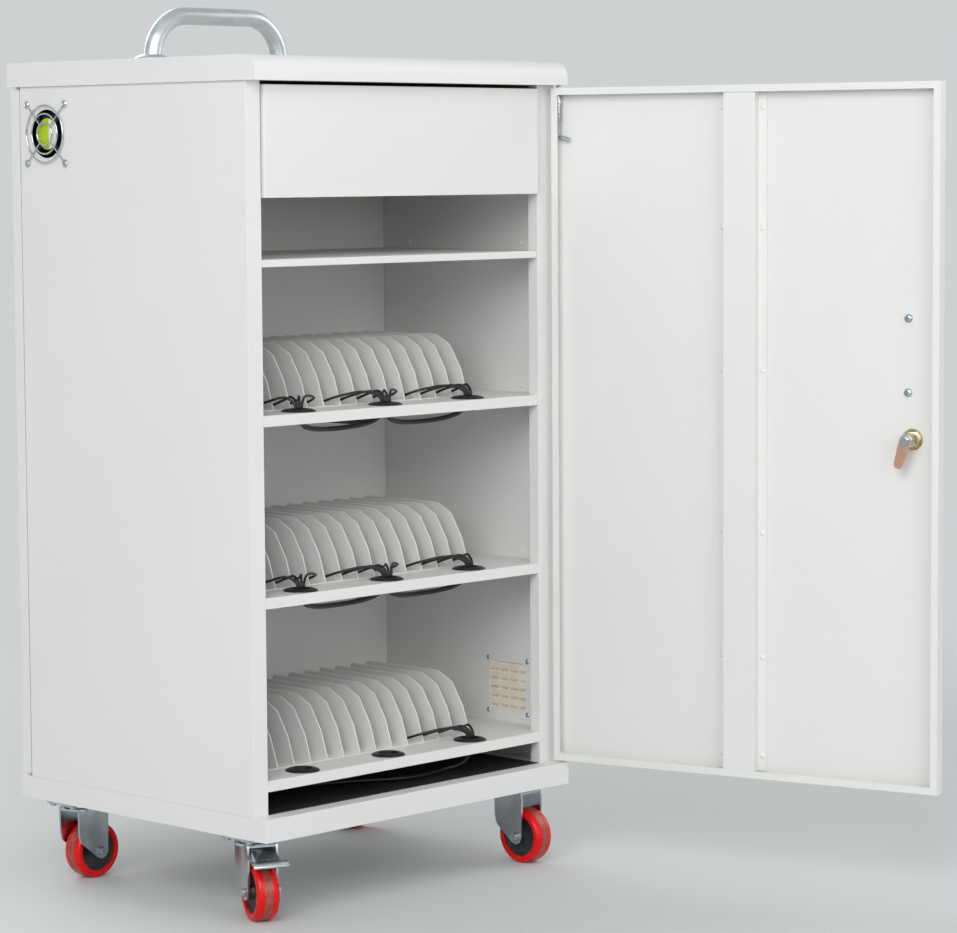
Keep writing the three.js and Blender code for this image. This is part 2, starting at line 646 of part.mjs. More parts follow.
// Push handle: one bent tube on two roses
function topHandle() {
  const half = HANDLE_SPAN / 2;
  const lean = radians(HANDLE_LEAN);
  const foot = HANDLE_ROSE_HEIGHT / 2;
  const bendZ = HANDLE_RISE - HANDLE_TUBE / 2 - HANDLE_BEND;
  const straight = bendZ + HANDLE_BEND * Math.sin(lean);
  const bendX = -half + straight * Math.tan(lean) + HANDLE_BEND * Math.cos(lean);
  const leg = [[-half + foot * Math.tan(lean), 0, foot]];
  for (let step = 0; step <= HANDLE_BEND_STEPS; step += 1) {
    const angle = Math.PI - lean - (Math.PI / 2 - lean) * step / HANDLE_BEND_STEPS;
    leg.push([bendX + HANDLE_BEND * Math.cos(angle), 0, bendZ + HANDLE_BEND * Math.sin(angle)]);
  }
  const points = [...leg, ...leg.map(([x, y, z]) => [-x, y, z]).reverse()];
  const rose = turned([
    [0, 0], [HANDLE_ROSE / 2, 0], [HANDLE_ROSE / 2, HANDLE_ROSE_HEIGHT - 4],
    [HANDLE_ROSE / 2 - 6, HANDLE_ROSE_HEIGHT], [0, HANDLE_ROSE_HEIGHT],
  ], ROUND_SIDES);
  return join(
    tube(points, HANDLE_TUBE, HANDLE_SIDES, HANDLE_STEPS),
    rose.translate([-half, 0, 0]), rose.translate([half, 0, 0]),
  );
}
addPiece(cart, 'top_handle', topHandle(), ZINC).position.set(0, REAR + DOOR_ROOM - HANDLE_FROM_REAR, CAP_TOP);

// Fan on the left panel: frame with stator struts, rotor and wire guard, built about +X pointing outwards
function fanFrame() {
  const half = FAN_SIZE / 2;
  const duct = cylinder(FAN_DUCT, -1, FAN_DEPTH + 1, 24);
  const frame = block(-half, half, -half, half, 0, FAN_DEPTH).subtract(duct);
  const stator = cylinder(FAN_HUB, 0, 5, 24);
  const shaft = cylinder(6, 4, FAN_DEPTH - 2, 10);
  const strut = block(-3, 3, 0, FAN_DUCT / 2 + 1, 0, 3);
  const struts = [0, 1, 2, 3].map((i) => strut.rotate([0, 0, 45 + 90 * i]));
  return join(frame, stator, shaft, ...struts);
}

function fanRotor() {
  const hub = cylinder(FAN_HUB - 4, 6, FAN_DEPTH - 1, 20);
  const inner = FAN_HUB / 2 - 4;
  const outer = FAN_DUCT / 2 - 2;
  const blades = Array.from({ length: FAN_BLADES }, (_, i) => {
    const blade = block(inner, outer, -11, 11, -0.8, 0.8).rotate([FAN_BLADE_PITCH, 0, 0]);
    return blade.translate([0, 0, FAN_DEPTH / 2 + 2]).rotate([0, 0, i * 360 / FAN_BLADES]);
  });
  return join(hub, ...blades).subtract(cylinder(6 + 2 * FIT, 0, FAN_DEPTH - 2 + FIT, 10));
}

function fanGuard() {
  const wire = GUARD_WIRE / 2;
  const rings = GUARD_RINGS.map((radius) => {
    const ring = solid(new THREE.TorusGeometry(radius, wire, 5, 20));
    return ring.translate([0, 0, -3 * wire]);
  });
  const reach = FAN_SCREW_PITCH / Math.SQRT2;
  const arm = block(GUARD_RINGS[0], reach - 4, -wire, wire, -2.4 * wire, -0.4 * wire);
  const eye = cylinder(9, -2.4 * wire, 0, 12).translate([reach, 0, 0]);
  const arms = [0, 1, 2, 3].map((i) => join(arm, eye).rotate([0, 0, 45 + 90 * i]));
  return join(...rings, ...arms);
}

const fan = new THREE.Group();
fan.position.set(LEFT, FAN_Y, FAN_LEVEL);
fan.rotation.y = Math.PI / 2;
cart.add(fan);
addPiece(fan, 'fan_frame', fanFrame(), BLACK_PLASTIC).position.z = SHEET + FIT;
addPiece(fan, 'fan_rotor', fanRotor(), BLACK_PLASTIC).position.z = SHEET + FIT;
addPiece(fan, 'fan_guard', fanGuard(), ZINC).position.z = -FIT;

// Louvred cover outside the vent holes
function ventCover() {
  const half = VENT_COVER_SIZE / 2;
  const plate = block(0, VENT_COVER_DEPTH, -half, half, -half, half);
  const inside = half - VENT_COVER_BORDER;
  const pitch = 2 * inside / VENT_COVER_LOUVRES;
  const column = 2 * inside / VENT_COVER_COLUMNS;
  const cuts = [];
  for (let louvre = 0; louvre < VENT_COVER_LOUVRES; louvre += 1) {
    const low = -inside + louvre * pitch;
    const outline = [
      [-1, low + pitch * 0.58], [-1, low + pitch * 0.92],
      [VENT_COVER_DEPTH + 1, low + pitch * 0.34], [VENT_COVER_DEPTH + 1, low],
    ];
    for (let rib = 0; rib < VENT_COVER_COLUMNS; rib += 1) {
      const near = -inside + rib * column + VENT_COVER_RIB / 2;
      cuts.push(prismY(outline, near, near + column - VENT_COVER_RIB));
    }
  }
  return plate.subtract(join(...cuts));
}
const vent = addPiece(cart, 'vent_cover', ventCover(), IVORY_PLASTIC);
vent.position.set(RIGHT + FIT, FRONT + VENT_SETBACK, BASE_BOTTOM + VENT_HEIGHT);

// Power supply behind the partition, and the mains inlet in the right panel
function powerUnit() {
  const y = PARTITION + SHEET;
  const z = BASE_BOTTOM + POWER_BASE;
  const half = POWER_WIDTH / 2;
  const body = block(-half, half, y, y + POWER_DEPTH, z, z + POWER_HEIGHT);
  const pitch = POWER_WIDTH / (POWER_OUTLETS + 1);
  const outlets = Array.from({ length: POWER_OUTLETS }, (_, i) => {
    const x = -half + (i + 1) * pitch;
    return block(
      x - OUTLET_SIZE / 2, x + OUTLET_SIZE / 2, y + POWER_DEPTH - 1, y + POWER_DEPTH + OUTLET_RISE,
      z + OUTLET_SIZE, z + 2 * OUTLET_SIZE,
    );
  });
  return join(body, ...outlets);
}
addPiece(cart, 'power_unit', powerUnit(), BLACK_PLASTIC);

function mainsInlet() {
  const halfWidth = INLET_WIDTH / 2;
  const halfHeight = INLET_HEIGHT / 2;
  const body = block(-INLET_DEPTH, 0, -halfWidth, halfWidth, -halfHeight, halfHeight);
  const flange = block(
    FIT, INLET_FLANGE, -halfWidth - 8, halfWidth + 8, -halfHeight - 4, halfHeight + 4,
  );
  const socket = block(
    -INLET_DEPTH + 6, INLET_FLANGE + 1, -halfWidth + 3, halfWidth - 3, -halfHeight + 3, halfHeight - 3,
  );
  const blade = block(-INLET_DEPTH + 5, -3, -1, 1, -2.5, 2.5);
  const blades = [-7, 0, 7].map((y, i) => blade.translate([0, y, i === 1 ? 3 : -2]));
  return join(body.add(block(-1, FIT + 1, -halfWidth, halfWidth, -halfHeight, halfHeight)), flange)
    .subtract(socket).add(join(...blades));
}
const inlet = addPiece(cart, 'mains_inlet', mainsInlet(), BLACK_PLASTIC);
inlet.position.set(RIGHT, INLET_Y, BASE_BOTTOM + INLET_BASE);

// Doors: pans with return lips, drawn shut about the hinge axis; +X runs from hinge to free edge, +Y outwards
function doorPan() {
  const hinge = -HINGE_INSET;
  const free = BODY_WIDTH - HINGE_INSET;
  const shell = block(hinge, free, DOOR_INNER, DOOR_OUTER, DOOR_BOTTOM, DOOR_TOP);
  const hollow = block(
    hinge + SHEET, free - SHEET, DOOR_INNER + SHEET, DOOR_OUTER - SHEET,
    DOOR_BOTTOM + SHEET, DOOR_TOP - SHEET,
  );
  const mouth = block(
    hinge + DOOR_LIP, free - DOOR_LIP, DOOR_INNER - SHEET, 0, DOOR_BOTTOM + DOOR_LIP, DOOR_TOP - DOOR_LIP,
  );
  const pinHole = cylinder(PIN_DIAMETER + 2 * FIT, -SHEET, SHEET + FIT).translate([0, 0, DOOR_BOTTOM]);
  return shell.subtract(join(hollow, mouth, pinHole));
}

function lockX() {
  return BODY_WIDTH - HINGE_INSET - LOCK_EDGE;
}

function pullX() {
  return lockX() - PULL_INBOARD;
}

function frontDoorPan() {
  const lockHole = cylinder(LOCK_BARREL + 2 * FIT, 0, DOOR_OUTER + SHEET).rotate([-90, 0, 0]);
  const boltHole = cylinder(PIN_DIAMETER + 2 * FIT, -2 * SHEET, SHEET).translate([0, 0, DOOR_TOP]);
  const pullHole = cylinder(PULL_ROD + 2 * FIT, 0, DOOR_OUTER + SHEET).rotate([-90, 0, 0]);
  const pullHoles = [-1, 1].map((side) => pullHole.translate(
    [pullX(), 0, PULL_LEVEL + side * PULL_SPAN / 2],
  ));
  const cuts = join(lockHole.translate([lockX(), 0, LOCK_LEVEL]), boltHole, ...pullHoles);
  return doorPan().subtract(cuts);
}

function rearDoorPan() {
  const pin = cylinder(PIN_DIAMETER, -2 * SHEET, DOOR_CLEARANCE + 4 * SHEET).translate([0, 0, DOOR_TOP]);
  return doorPan().add(pin);
}

function doorStiffener() {
  const skin = DOOR_OUTER - SHEET - FIT;
  const centre = STIFFENER_CENTRE - HINGE_INSET;
  const crown = STIFFENER_CROWN / 2;
  const wide = crown + STIFFENER_FLANGE;
  const low = skin - STIFFENER_DEPTH;
  const outline = [
    [-wide, skin], [-wide, skin - SHEET], [-crown, skin - SHEET], [-crown, low],
    [crown, low], [crown, skin - SHEET],
    [wide, skin - SHEET], [wide, skin], [crown - SHEET, skin], [crown - SHEET, low + SHEET],
    [-crown + SHEET, low + SHEET], [-crown + SHEET, skin],
  ].map(([x, y]) => [x + centre, y]);
  const gap = SHEET + STIFFENER_END_GAP;
  return prismZ(outline, DOOR_BOTTOM + gap, DOOR_TOP - gap);
}

// Spring bolt of the upper hinge: a rod with a collar and a bent handle, behind the door's lip
function hingeBolt() {
  const bottom = DOOR_TOP - SHEET - BOLT_LENGTH;
  const rod = cylinder(BOLT_ROD, bottom, CAP_BOTTOM + 2 * SHEET);
  const handle = cylinder(BOLT_ROD, -BOLT_ROD / 2, BOLT_HANDLE).rotate([0, 105, 0]).translate([0, 0, bottom]);
  const collarTop = DOOR_TOP - SHEET - BOLT_BRACKET;
  const collar = cylinder(BOLT_ROD + 4, collarTop - BOLT_COLLAR, collarTop);
  return join(rod, handle, collar);
}

function lockBody() {
  const barrel = cylinder(LOCK_BARREL, DOOR_OUTER - SHEET - LOCK_INSIDE, DOOR_OUTER + 2);
  const face = cylinder(LOCK_NUT, DOOR_OUTER + FIT, DOOR_OUTER + 4, 20);
  const nut = cylinder(LOCK_NUT, DOOR_OUTER - SHEET - FIT - LOCK_NUT_HEIGHT, DOOR_OUTER - SHEET - FIT, 6);
  const keyway = block(-1.2, 1.2, -4, 4, DOOR_OUTER + 1, DOOR_OUTER + 5);
  return join(barrel, face, nut).subtract(keyway).rotate([-90, 0, 0]);
}

function lockCam() {
  const half = CAM_WIDTH / 2;
  const tip = half * 0.8;
  const outline = new THREE.Shape();
  outline.absarc(0, 0, half, 0, Math.PI, false);
  outline.lineTo(-tip, -CAM_LENGTH + half).absarc(0, -CAM_LENGTH + half, tip, Math.PI, 2 * Math.PI, false);
  const extrusion = { depth: CAM_THICK, bevelEnabled: false, curveSegments: 8 };
  const plate = new THREE.ExtrudeGeometry(outline, extrusion);
  const y = DOOR_OUTER - SHEET - LOCK_INSIDE - FIT;
  const screw = cylinder(9, 0, 3, 6).rotate([90, 0, 0]).translate([0, -CAM_THICK + 0.5, 0]);
  return solid(plate.rotateX(Math.PI / 2)).add(screw).translate([0, y, 0]).rotate([0, CAM_TILT, 0]);
}

// Bow pull on the outside of the front door
function doorPull() {
  const span = PULL_SPAN / 2;
  const root = DOOR_OUTER - SHEET;
  const shoulder = DOOR_OUTER + PULL_REACH * 0.55;
  const bend = DOOR_OUTER + PULL_REACH * 0.92;
  const crest = DOOR_OUTER + PULL_REACH;
  const lower = [[0, root, -span], [0, shoulder, -span], [0, bend, -span * 0.8], [0, crest, -span * 0.4]];
  const upper = lower.map(([x, y, z]) => [x, y, -z]).reverse();
  return tube([...lower, ...upper], PULL_ROD, PULL_SIDES, PULL_STEPS);
}

// Front door, standing open on its hinge axis
const frontDoor = new THREE.Group();
frontDoor.position.set(HINGE_X, HINGE_Y, 0);
frontDoor.rotation.z = Math.PI + radians(FRONT_DOOR_OPEN);
cart.add(frontDoor);
addPiece(frontDoor, 'front_door', frontDoorPan(), PAINT);
addPiece(frontDoor, 'door_stiffener', doorStiffener(), PAINT);
addPiece(frontDoor, 'hinge_bolt', hingeBolt(), ZINC);
addPiece(frontDoor, 'lock_body', lockBody(), ZINC).position.set(lockX(), 0, LOCK_LEVEL);
addPiece(frontDoor, 'lock_cam', lockCam(), BRASSED_STEEL).position.set(lockX(), 0, LOCK_LEVEL);
addPiece(frontDoor, 'door_pull', doorPull(), ZINC).position.set(pullX(), 0, PULL_LEVEL);

// Rear door, shut
const rearDoor = new THREE.Group();
rearDoor.position.set(-HINGE_X, REAR_HINGE_Y, 0);
cart.add(rearDoor);
addPiece(rearDoor, 'rear_door', rearDoorPan(), PAINT);

// Casters: plate with swivel boss, fork, axle, wheel and, on two of them, a brake pedal.
// Drawn about the swivel axis with the wheel trailing towards +Y; the axle runs along X.
const AXLE_HEIGHT = WHEEL_DIAMETER / 2;
const PLATE_BOTTOM = CASTER_HEIGHT - CASTER_PLATE[2];
const SWIVEL_BOTTOM = PLATE_BOTTOM - SWIVEL_HEIGHT;

function casterPlate() {
  const [length, width, thick] = CASTER_PLATE;
  const plate = block(-length / 2, length / 2, -width / 2, width / 2, PLATE_BOTTOM, PLATE_BOTTOM + thick);
  const boss = cylinder(SWIVEL_DIAMETER, SWIVEL_BOTTOM + FIT, PLATE_BOTTOM, 24);
  return join(plate, boss);
}

function casterFork() {
  const outside = FORK_INSIDE / 2 + FORK_SHEET;
  const crown = cylinder(FORK_CROWN, SWIVEL_BOTTOM - FORK_SHEET, SWIVEL_BOTTOM, 24);
  const tip = 12;
  const heel = -20;
  const rear = CASTER_TRAIL + tip - 1;
  const bridge = block(-outside, outside, heel, rear, SWIVEL_BOTTOM - FORK_SHEET, SWIVEL_BOTTOM);
  const toe = [225, 270, 315].map((angle) => [
    CASTER_TRAIL + tip * Math.cos(radians(angle)), AXLE_HEIGHT + tip * Math.sin(radians(angle)),
  ]);
  const leg = [
    [heel, SWIVEL_BOTTOM], [heel + 1, AXLE_HEIGHT + 2.2 * tip], [heel + 4, AXLE_HEIGHT + 1.3 * tip], ...toe,
    [CASTER_TRAIL + tip, AXLE_HEIGHT], [CASTER_TRAIL + tip + 1, SWIVEL_BOTTOM - 10], [rear, SWIVEL_BOTTOM],
  ];
  const legs = [prismX(leg, -outside, -outside + FORK_SHEET), prismX(leg, outside - FORK_SHEET, outside)];
  const hole = cylinder(AXLE_DIAMETER + 2 * FIT, -2 * outside, 2 * outside).rotate([0, 90, 0]);
  return join(crown, bridge, ...legs).subtract(hole.translate([0, CASTER_TRAIL, AXLE_HEIGHT]));
}

function casterAxle() {
  const outside = FORK_INSIDE / 2 + FORK_SHEET + FIT;
  const nut = cylinder(AXLE_NUT, outside, outside + AXLE_NUT_WIDTH, 6);
  const rod = cylinder(AXLE_DIAMETER, -outside - 1, outside + 1);
  return join(rod, nut, nut.mirror([0, 0, 1])).rotate([0, 90, 0]);
}

function casterWheel() {
  const half = WHEEL_WIDTH / 2;
  const rim = WHEEL_DIAMETER / 2 / Math.cos(Math.PI / WHEEL_SIDES);
  const core = rim - 11;
  const bore = AXLE_DIAMETER / 2 + FIT;
  const hub = FORK_INSIDE / 2 - FIT;
  const wheel = turned([
    [bore, -hub], [bore + 5, -hub], [bore + 6, -half + 4], [core, -half + 4], [core + 1, -half],
    [rim - 3, -half], [rim, -half + 6], [rim, half - 6], [rim - 3, half],
    [core + 1, half], [core, half - 4], [bore + 6, half - 4], [bore + 5, hub], [bore, hub],
  ], WHEEL_SIDES);
  return wheel.rotate([0, 90, 0]);
}

// Brake pedal on a pivot bar between the fork legs, over the wheel, with a wide toe turned down in front
function brakePedal() {
  const half = PEDAL_WIDTH / 2;
  const bar = cylinder(PEDAL_PIVOT - 1, -FORK_INSIDE / 2 + FIT, FORK_INSIDE / 2 - FIT, 12).rotate([0, 90, 0]);
  const sheet = (line) => [...line, ...line.map(([y, z]) => [y, z - PEDAL_SHEET]).reverse()];
  const tongue = prismX(sheet([[-2, 1.5], [16, 2.4], [36, -8], [46, -10]]), -half, half);
  const toe = prismX(sheet([[41, -9], [51, -10.5], [54, -14]]), -PEDAL_TOE / 2, PEDAL_TOE / 2);
  return join(bar, tongue, toe);
}

const sides = { left: LEFT + CASTER_INSET_X, right: RIGHT - CASTER_INSET_X };
const ends = { front: FRONT + CASTER_INSET_FRONT, rear: REAR - CASTER_INSET_REAR };
for (const [corner, turn] of Object.entries(CASTER_TURNS)) {
  const [end, side] = corner.split('_');
  const caster = new THREE.Group();
  caster.position.set(sides[side], ends[end], 0);
  cart.add(caster);
  addPiece(caster, `caster_plate_${corner}`, casterPlate(), ZINC);
  const swivel = new THREE.Group();
  swivel.rotation.z = radians(turn);
  caster.add(swivel);
  addPiece(swivel, `caster_fork_${corner}`, casterFork(), ZINC);
  const axle = addPiece(swivel, `caster_axle_${corner}`, casterAxle(), ZINC);
  const wheel = addPiece(swivel, `caster_wheel_${corner}`, casterWheel(), RED_TREAD);
  axle.position.set(0, CASTER_TRAIL, AXLE_HEIGHT);
  wheel.position.set(0, CASTER_TRAIL, AXLE_HEIGHT);
  if (BRAKED.includes(corner)) {
    const pedal = addPiece(swivel, `brake_pedal_${corner}`, brakePedal(), ZINC);
    pedal.position.set(0, FORK_CROWN / 2 - PEDAL_PIVOT, SWIVEL_BOTTOM - FORK_SHEET - PEDAL_PIVOT / 2);
  }
}

// The origin is on the floor, under the middle of the whole cart with its door standing open
cart.updateMatrixWorld(true);
const extent = new THREE.Box3().setFromObject(cart, true);
cart.position.set(-(extent.min.x + extent.max.x) / 2, -(extent.min.y + extent.max.y) / 2, -extent.min.z);
cart.updateMatrixWorld(true);

export default cart;
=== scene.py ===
"""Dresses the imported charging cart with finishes, rounded sheet, leads and fasteners on a plain stage."""

import json
from math import asin, copysign, cos, hypot, pi, radians, sin, sqrt, tan

import bmesh
import bpy
import numpy as np
from bpy.props import FloatProperty, FloatVectorProperty, IntProperty, PointerProperty
from bpy.types import Operator, Panel, PropertyGroup
from mathutils import Matrix, Vector


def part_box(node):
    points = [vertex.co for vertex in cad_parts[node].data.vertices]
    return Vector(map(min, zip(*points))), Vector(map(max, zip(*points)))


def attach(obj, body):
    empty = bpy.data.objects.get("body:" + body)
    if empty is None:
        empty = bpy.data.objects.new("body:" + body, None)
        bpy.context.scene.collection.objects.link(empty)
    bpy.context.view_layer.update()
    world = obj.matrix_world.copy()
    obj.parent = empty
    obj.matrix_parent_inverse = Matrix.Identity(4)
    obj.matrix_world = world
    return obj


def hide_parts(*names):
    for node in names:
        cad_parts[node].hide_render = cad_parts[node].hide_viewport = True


bl_info = {
    "name": "Charging cart",
    "version": (1, 0, 0),
    "blender": (4, 5, 0),
    "location": "View3D > Sidebar > Cart",
    "description": "Builds the looks of a wheeled charging cart around its packed frame",
    "category": "Object",
}

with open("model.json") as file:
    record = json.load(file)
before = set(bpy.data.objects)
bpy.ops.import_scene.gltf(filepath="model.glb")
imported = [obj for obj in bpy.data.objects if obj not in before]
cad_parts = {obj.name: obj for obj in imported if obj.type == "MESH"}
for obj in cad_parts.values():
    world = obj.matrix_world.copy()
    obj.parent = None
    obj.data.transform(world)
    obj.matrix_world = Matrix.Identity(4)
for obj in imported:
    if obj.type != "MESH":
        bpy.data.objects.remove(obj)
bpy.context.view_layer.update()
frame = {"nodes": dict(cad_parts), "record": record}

MM = 0.001

# Distance in metres at which corners merge, and angles in degrees of flat faces, creases and edges to round
WELD_DISTANCE = 1e-6
FLAT_ANGLE = 0.4
CREASE_ANGLE = 35
EDGE_ANGLE = 32

# Casters by place in millimetres and swivel in degrees
CORNERS = {
    "front_left": (-258, -190, 156),
    "rear_left": (-258, 182, 271),
    "front_right": (258, -190, 180),
    "rear_right": (258, 182, 205),
}
BRAKED = ("front_left", "rear_right")
SIDES = ("left", "middle", "right")

# The photograph's camera: yaw, pitch and roll in degrees, place and lens in millimetres
CAMERA_TURNS = (46.139, 5.112, 0.366)
CAMERA_PLACE = (-3312.8, -3552.8, 1019.7)
CAMERA_LENS = 127.09

# Lamps by place and width in metres, and power in watts
LAMP_AIM = (0, 0.15, 0.55)
LAMPS = {
    "key": ((-3.55, -2.0, 2.6), 2.6, 106),
    "front": ((-0.8, -4.2, 1.9), 2.6, 43),
    "fill": ((3.6, -1.2, 2.2), 2.4, 30),
    "back": ((0.8, 3.8, 2.6), 2.4, 50),
}
DAYLIGHT = 0.52

# The floor's radius and thickness, and where it starts and ends to fade into the background, in metres
FLOOR_RADIUS = 30
FLOOR_DEPTH = 0.02
FLOOR_FADE = (1.2, 3.2)

# Places on the solids, in millimetres about the cabinet's middle on the floor
BASE_BOTTOM = 116
DECK = BASE_BOTTOM + 32
CAP_TOP = BASE_BOTTOM + 1050
CAP_BOTTOM = CAP_TOP - 34
PLATE_BOTTOM = BASE_BOTTOM - 4
UPPER_SHELF_TOP = BASE_BOTTOM + 779
RIGHT_WALL = 298.5
SHELF_TOPS = tuple(BASE_BOTTOM + z for z in (571, 326, 78))
GROMMET_X = (-184, -19, 146)
GROMMET_Y = -208
RACK_FRONT = -174
RACK_MIDDLE = -25
LEADS_PER_GROMMET = (4, 5, 4)
SLOTS = 13
RACK_PLATE = 1.5
FIN_SIZE = (215, 88)
FIT = 0.3
BUNCH_FOOT = -18
TRUNK_SAG = -29
HUB_X = -101.5
HUB_FACE = -108.3
HINGE = (293, -252)
DOOR_TURN = 283.7
DOOR_SKIN = 6.5
LOCK_X = 548
LOCK_Z = BASE_BOTTOM + 524
CAM_TILT = 17
PULL_X = LOCK_X - 7
PULL_Z = LOCK_Z + 115
PULL_SPAN = 51
BOLT_LENGTH = 68
STIFFENER_FLANGES = (260, 322)
WELD_HEIGHTS = tuple(BASE_BOTTOM + z for z in (981, 813, 613, 384, 207, 67))
DOOR_TOP = CAP_BOTTOM - 4
FAN_SCREW_PITCH = 82.5
FAN_CENTRE = (-300, 178, CAP_BOTTOM - 66)
VENT_CENTRE = (300, -140, BASE_BOTTOM + 132)
HANDLE_Y = 154
HANDLE_RISE = 82
HANDLE_BEND = 62
HANDLE_LEAN = 10
HANDLE_HALF = 125.5
HANDLE_ROSE = 48
ROSE_HEIGHT = 13
TRAIL = 22
AXLE_Z = 40
PEDAL_PIVOT = (0, 19, 97.5)

# Fasteners and small parts, in millimetres
RIVET = 8
RIVET_RISE = 9
RIVET_ROWS = (-170, 60)
PORTS = 4
PORT_PITCH = 20
ROTOR_DEPTH = 1.8
GUARD_WIRE = 2.4
GUARD_RINGS = (16, 28, 40)
GUARD_EYE = 4.3
INNER_SCREWS = 39.7
OUTER_SCREWS = 44.5
COVER_FACE = 5.3
WELD = 9
WELD_FACE = 4.7
PULL_SCREW = 12.5
CAM_SCREW = 11
LINE_HALF = 5.6
CHEEKS = ((-17, -15.4), (15.4, 17))
BOLT_GRID = (30, 22)
PLATE_BOLT = 9

# Turns an outline in X and Y to stand in Y and Z
UPRIGHT = Matrix(((0, 0, 1, 0), (1, 0, 0, 0), (0, 1, 0, 0), (0, 0, 0, 1)))


def linear(code):
    """Linear colour of an sRGB hex value such as #E4E4E2."""
    channels = [int(code[i : i + 2], 16) / 255 for i in (1, 3, 5)]
    return tuple(c / 12.92 if c <= 0.04045 else ((c + 0.055) / 1.055) ** 2.4 for c in channels)


def length(name, description, millimetres):
    """A length that a maker would change."""
    return FloatProperty(name=name, description=description, default=millimetres * MM, unit="LENGTH")


def colour(name, description, code):
    """A finish's colour from its sRGB hex value."""
    shade = linear(code)
    return FloatVectorProperty(name=name, description=description, size=3, subtype="COLOR", default=shade)


class CartSizes(PropertyGroup):
    """Sizes that a maker would change."""

    sheet_edge: length("Sheet edge", "Radius on the edges of the folded sheet", 0.5)
    lead: length("Lead", "Diameter of a charging lead", 3.6)
    trunk: length("Trunk", "Diameter of a trunk cable", 7)
    fins: IntProperty(name="Fins", description="Divider fins on each rack", default=14, min=2)
    fin_pitch: length("Fin pitch", "From fin to fin", 31.6)
    handle_tube: length("Handle", "Diameter of the handle's tube", 25)
    pull_rod: length("Pull", "Diameter of the door pull's rod", 9)
    wheel: length("Wheel", "Diameter of a caster wheel", 80)
    blades: IntProperty(name="Blades", description="Blades of the fan", default=7, min=3)
    screw: length("Screw head", "Diameter of a pan head", 7.6)


class CartColours(PropertyGroup):
    """Colours of the finishes."""

    paint: colour("Powder coat", "Sheet steel", "#E3E3E1")
    tread: colour("Tread", "Cast polyurethane", "#DE0806")
    label: colour("Fan label", "Plain paper disc", "#B6D21C")
    cam: colour("Lock cam", "Copper washed steel", "#DDAE95")
    lock: colour("Lock barrel", "Yellow passivated zinc", "#D2CAA9")
    floor: colour("Floor", "Floor and background", "#CED1D2")


def sizes():
    return bpy.context.scene.cart_sizes


def colours():
    return bpy.context.scene.cart_colours


def shift():
    """The cabinet's middle on the floor, in the row frame."""
    low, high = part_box("base_tray")
    return Vector(((low.x + high.x) / 2, (low.y + high.y) / 2, 0))


def moved(x, y, z):
    return Matrix.Translation((x, y, z))


def spun(degrees, axis):
    return Matrix.Rotation(radians(degrees), 4, axis)


def placed(*parts):
    """Matrix from millimetres about the cabinet's middle to the row frame."""
    whole = moved(*shift()) @ Matrix.Scale(MM, 4)
    for part in parts:
        whole = whole @ part
    return whole


# Finishes


def add_node(tree, kind, settings, links):
    """A node with its settings and its incoming links."""
    node = tree.nodes.new(kind)
    for key, value in settings.items():
        if key in node.inputs:
            node.inputs[key].default_value = value
        else:
            setattr(node, key, value)
    for key, source in links:
        tree.links.new(source, node.inputs[key])
    return node


def wired(tree, rows, prefix=""):
    """Adds a node for each row of kind, settings and links; a link names an earlier row and its socket."""
    made = {}
    for label, (kind, settings, links) in rows.items():
        ends = [(key, *end.split(".")) for key, named in links.items() for end in named.split(" + ")]
        sources = [(key, made[row].outputs[socket]) for key, row, socket in ends]
        made[label] = add_node(tree, prefix + kind, settings, sources)
    return made


def blank_tree(owner):
    """The emptied node tree of a material or a world."""
    owner.use_nodes = True
    owner.node_tree.nodes.clear()
    return owner.node_tree


def toned(tint, share):
    return tuple(min(1, c * share) for c in tint)


EVEN = (1, 1, 1)
METAL = {"Metallic": 1.0}
SOFT = {"Subsurface Weight": 0.25, "Subsurface Radius": (0.006, 0.001, 0.001), "Specular IOR Level": 0.32}

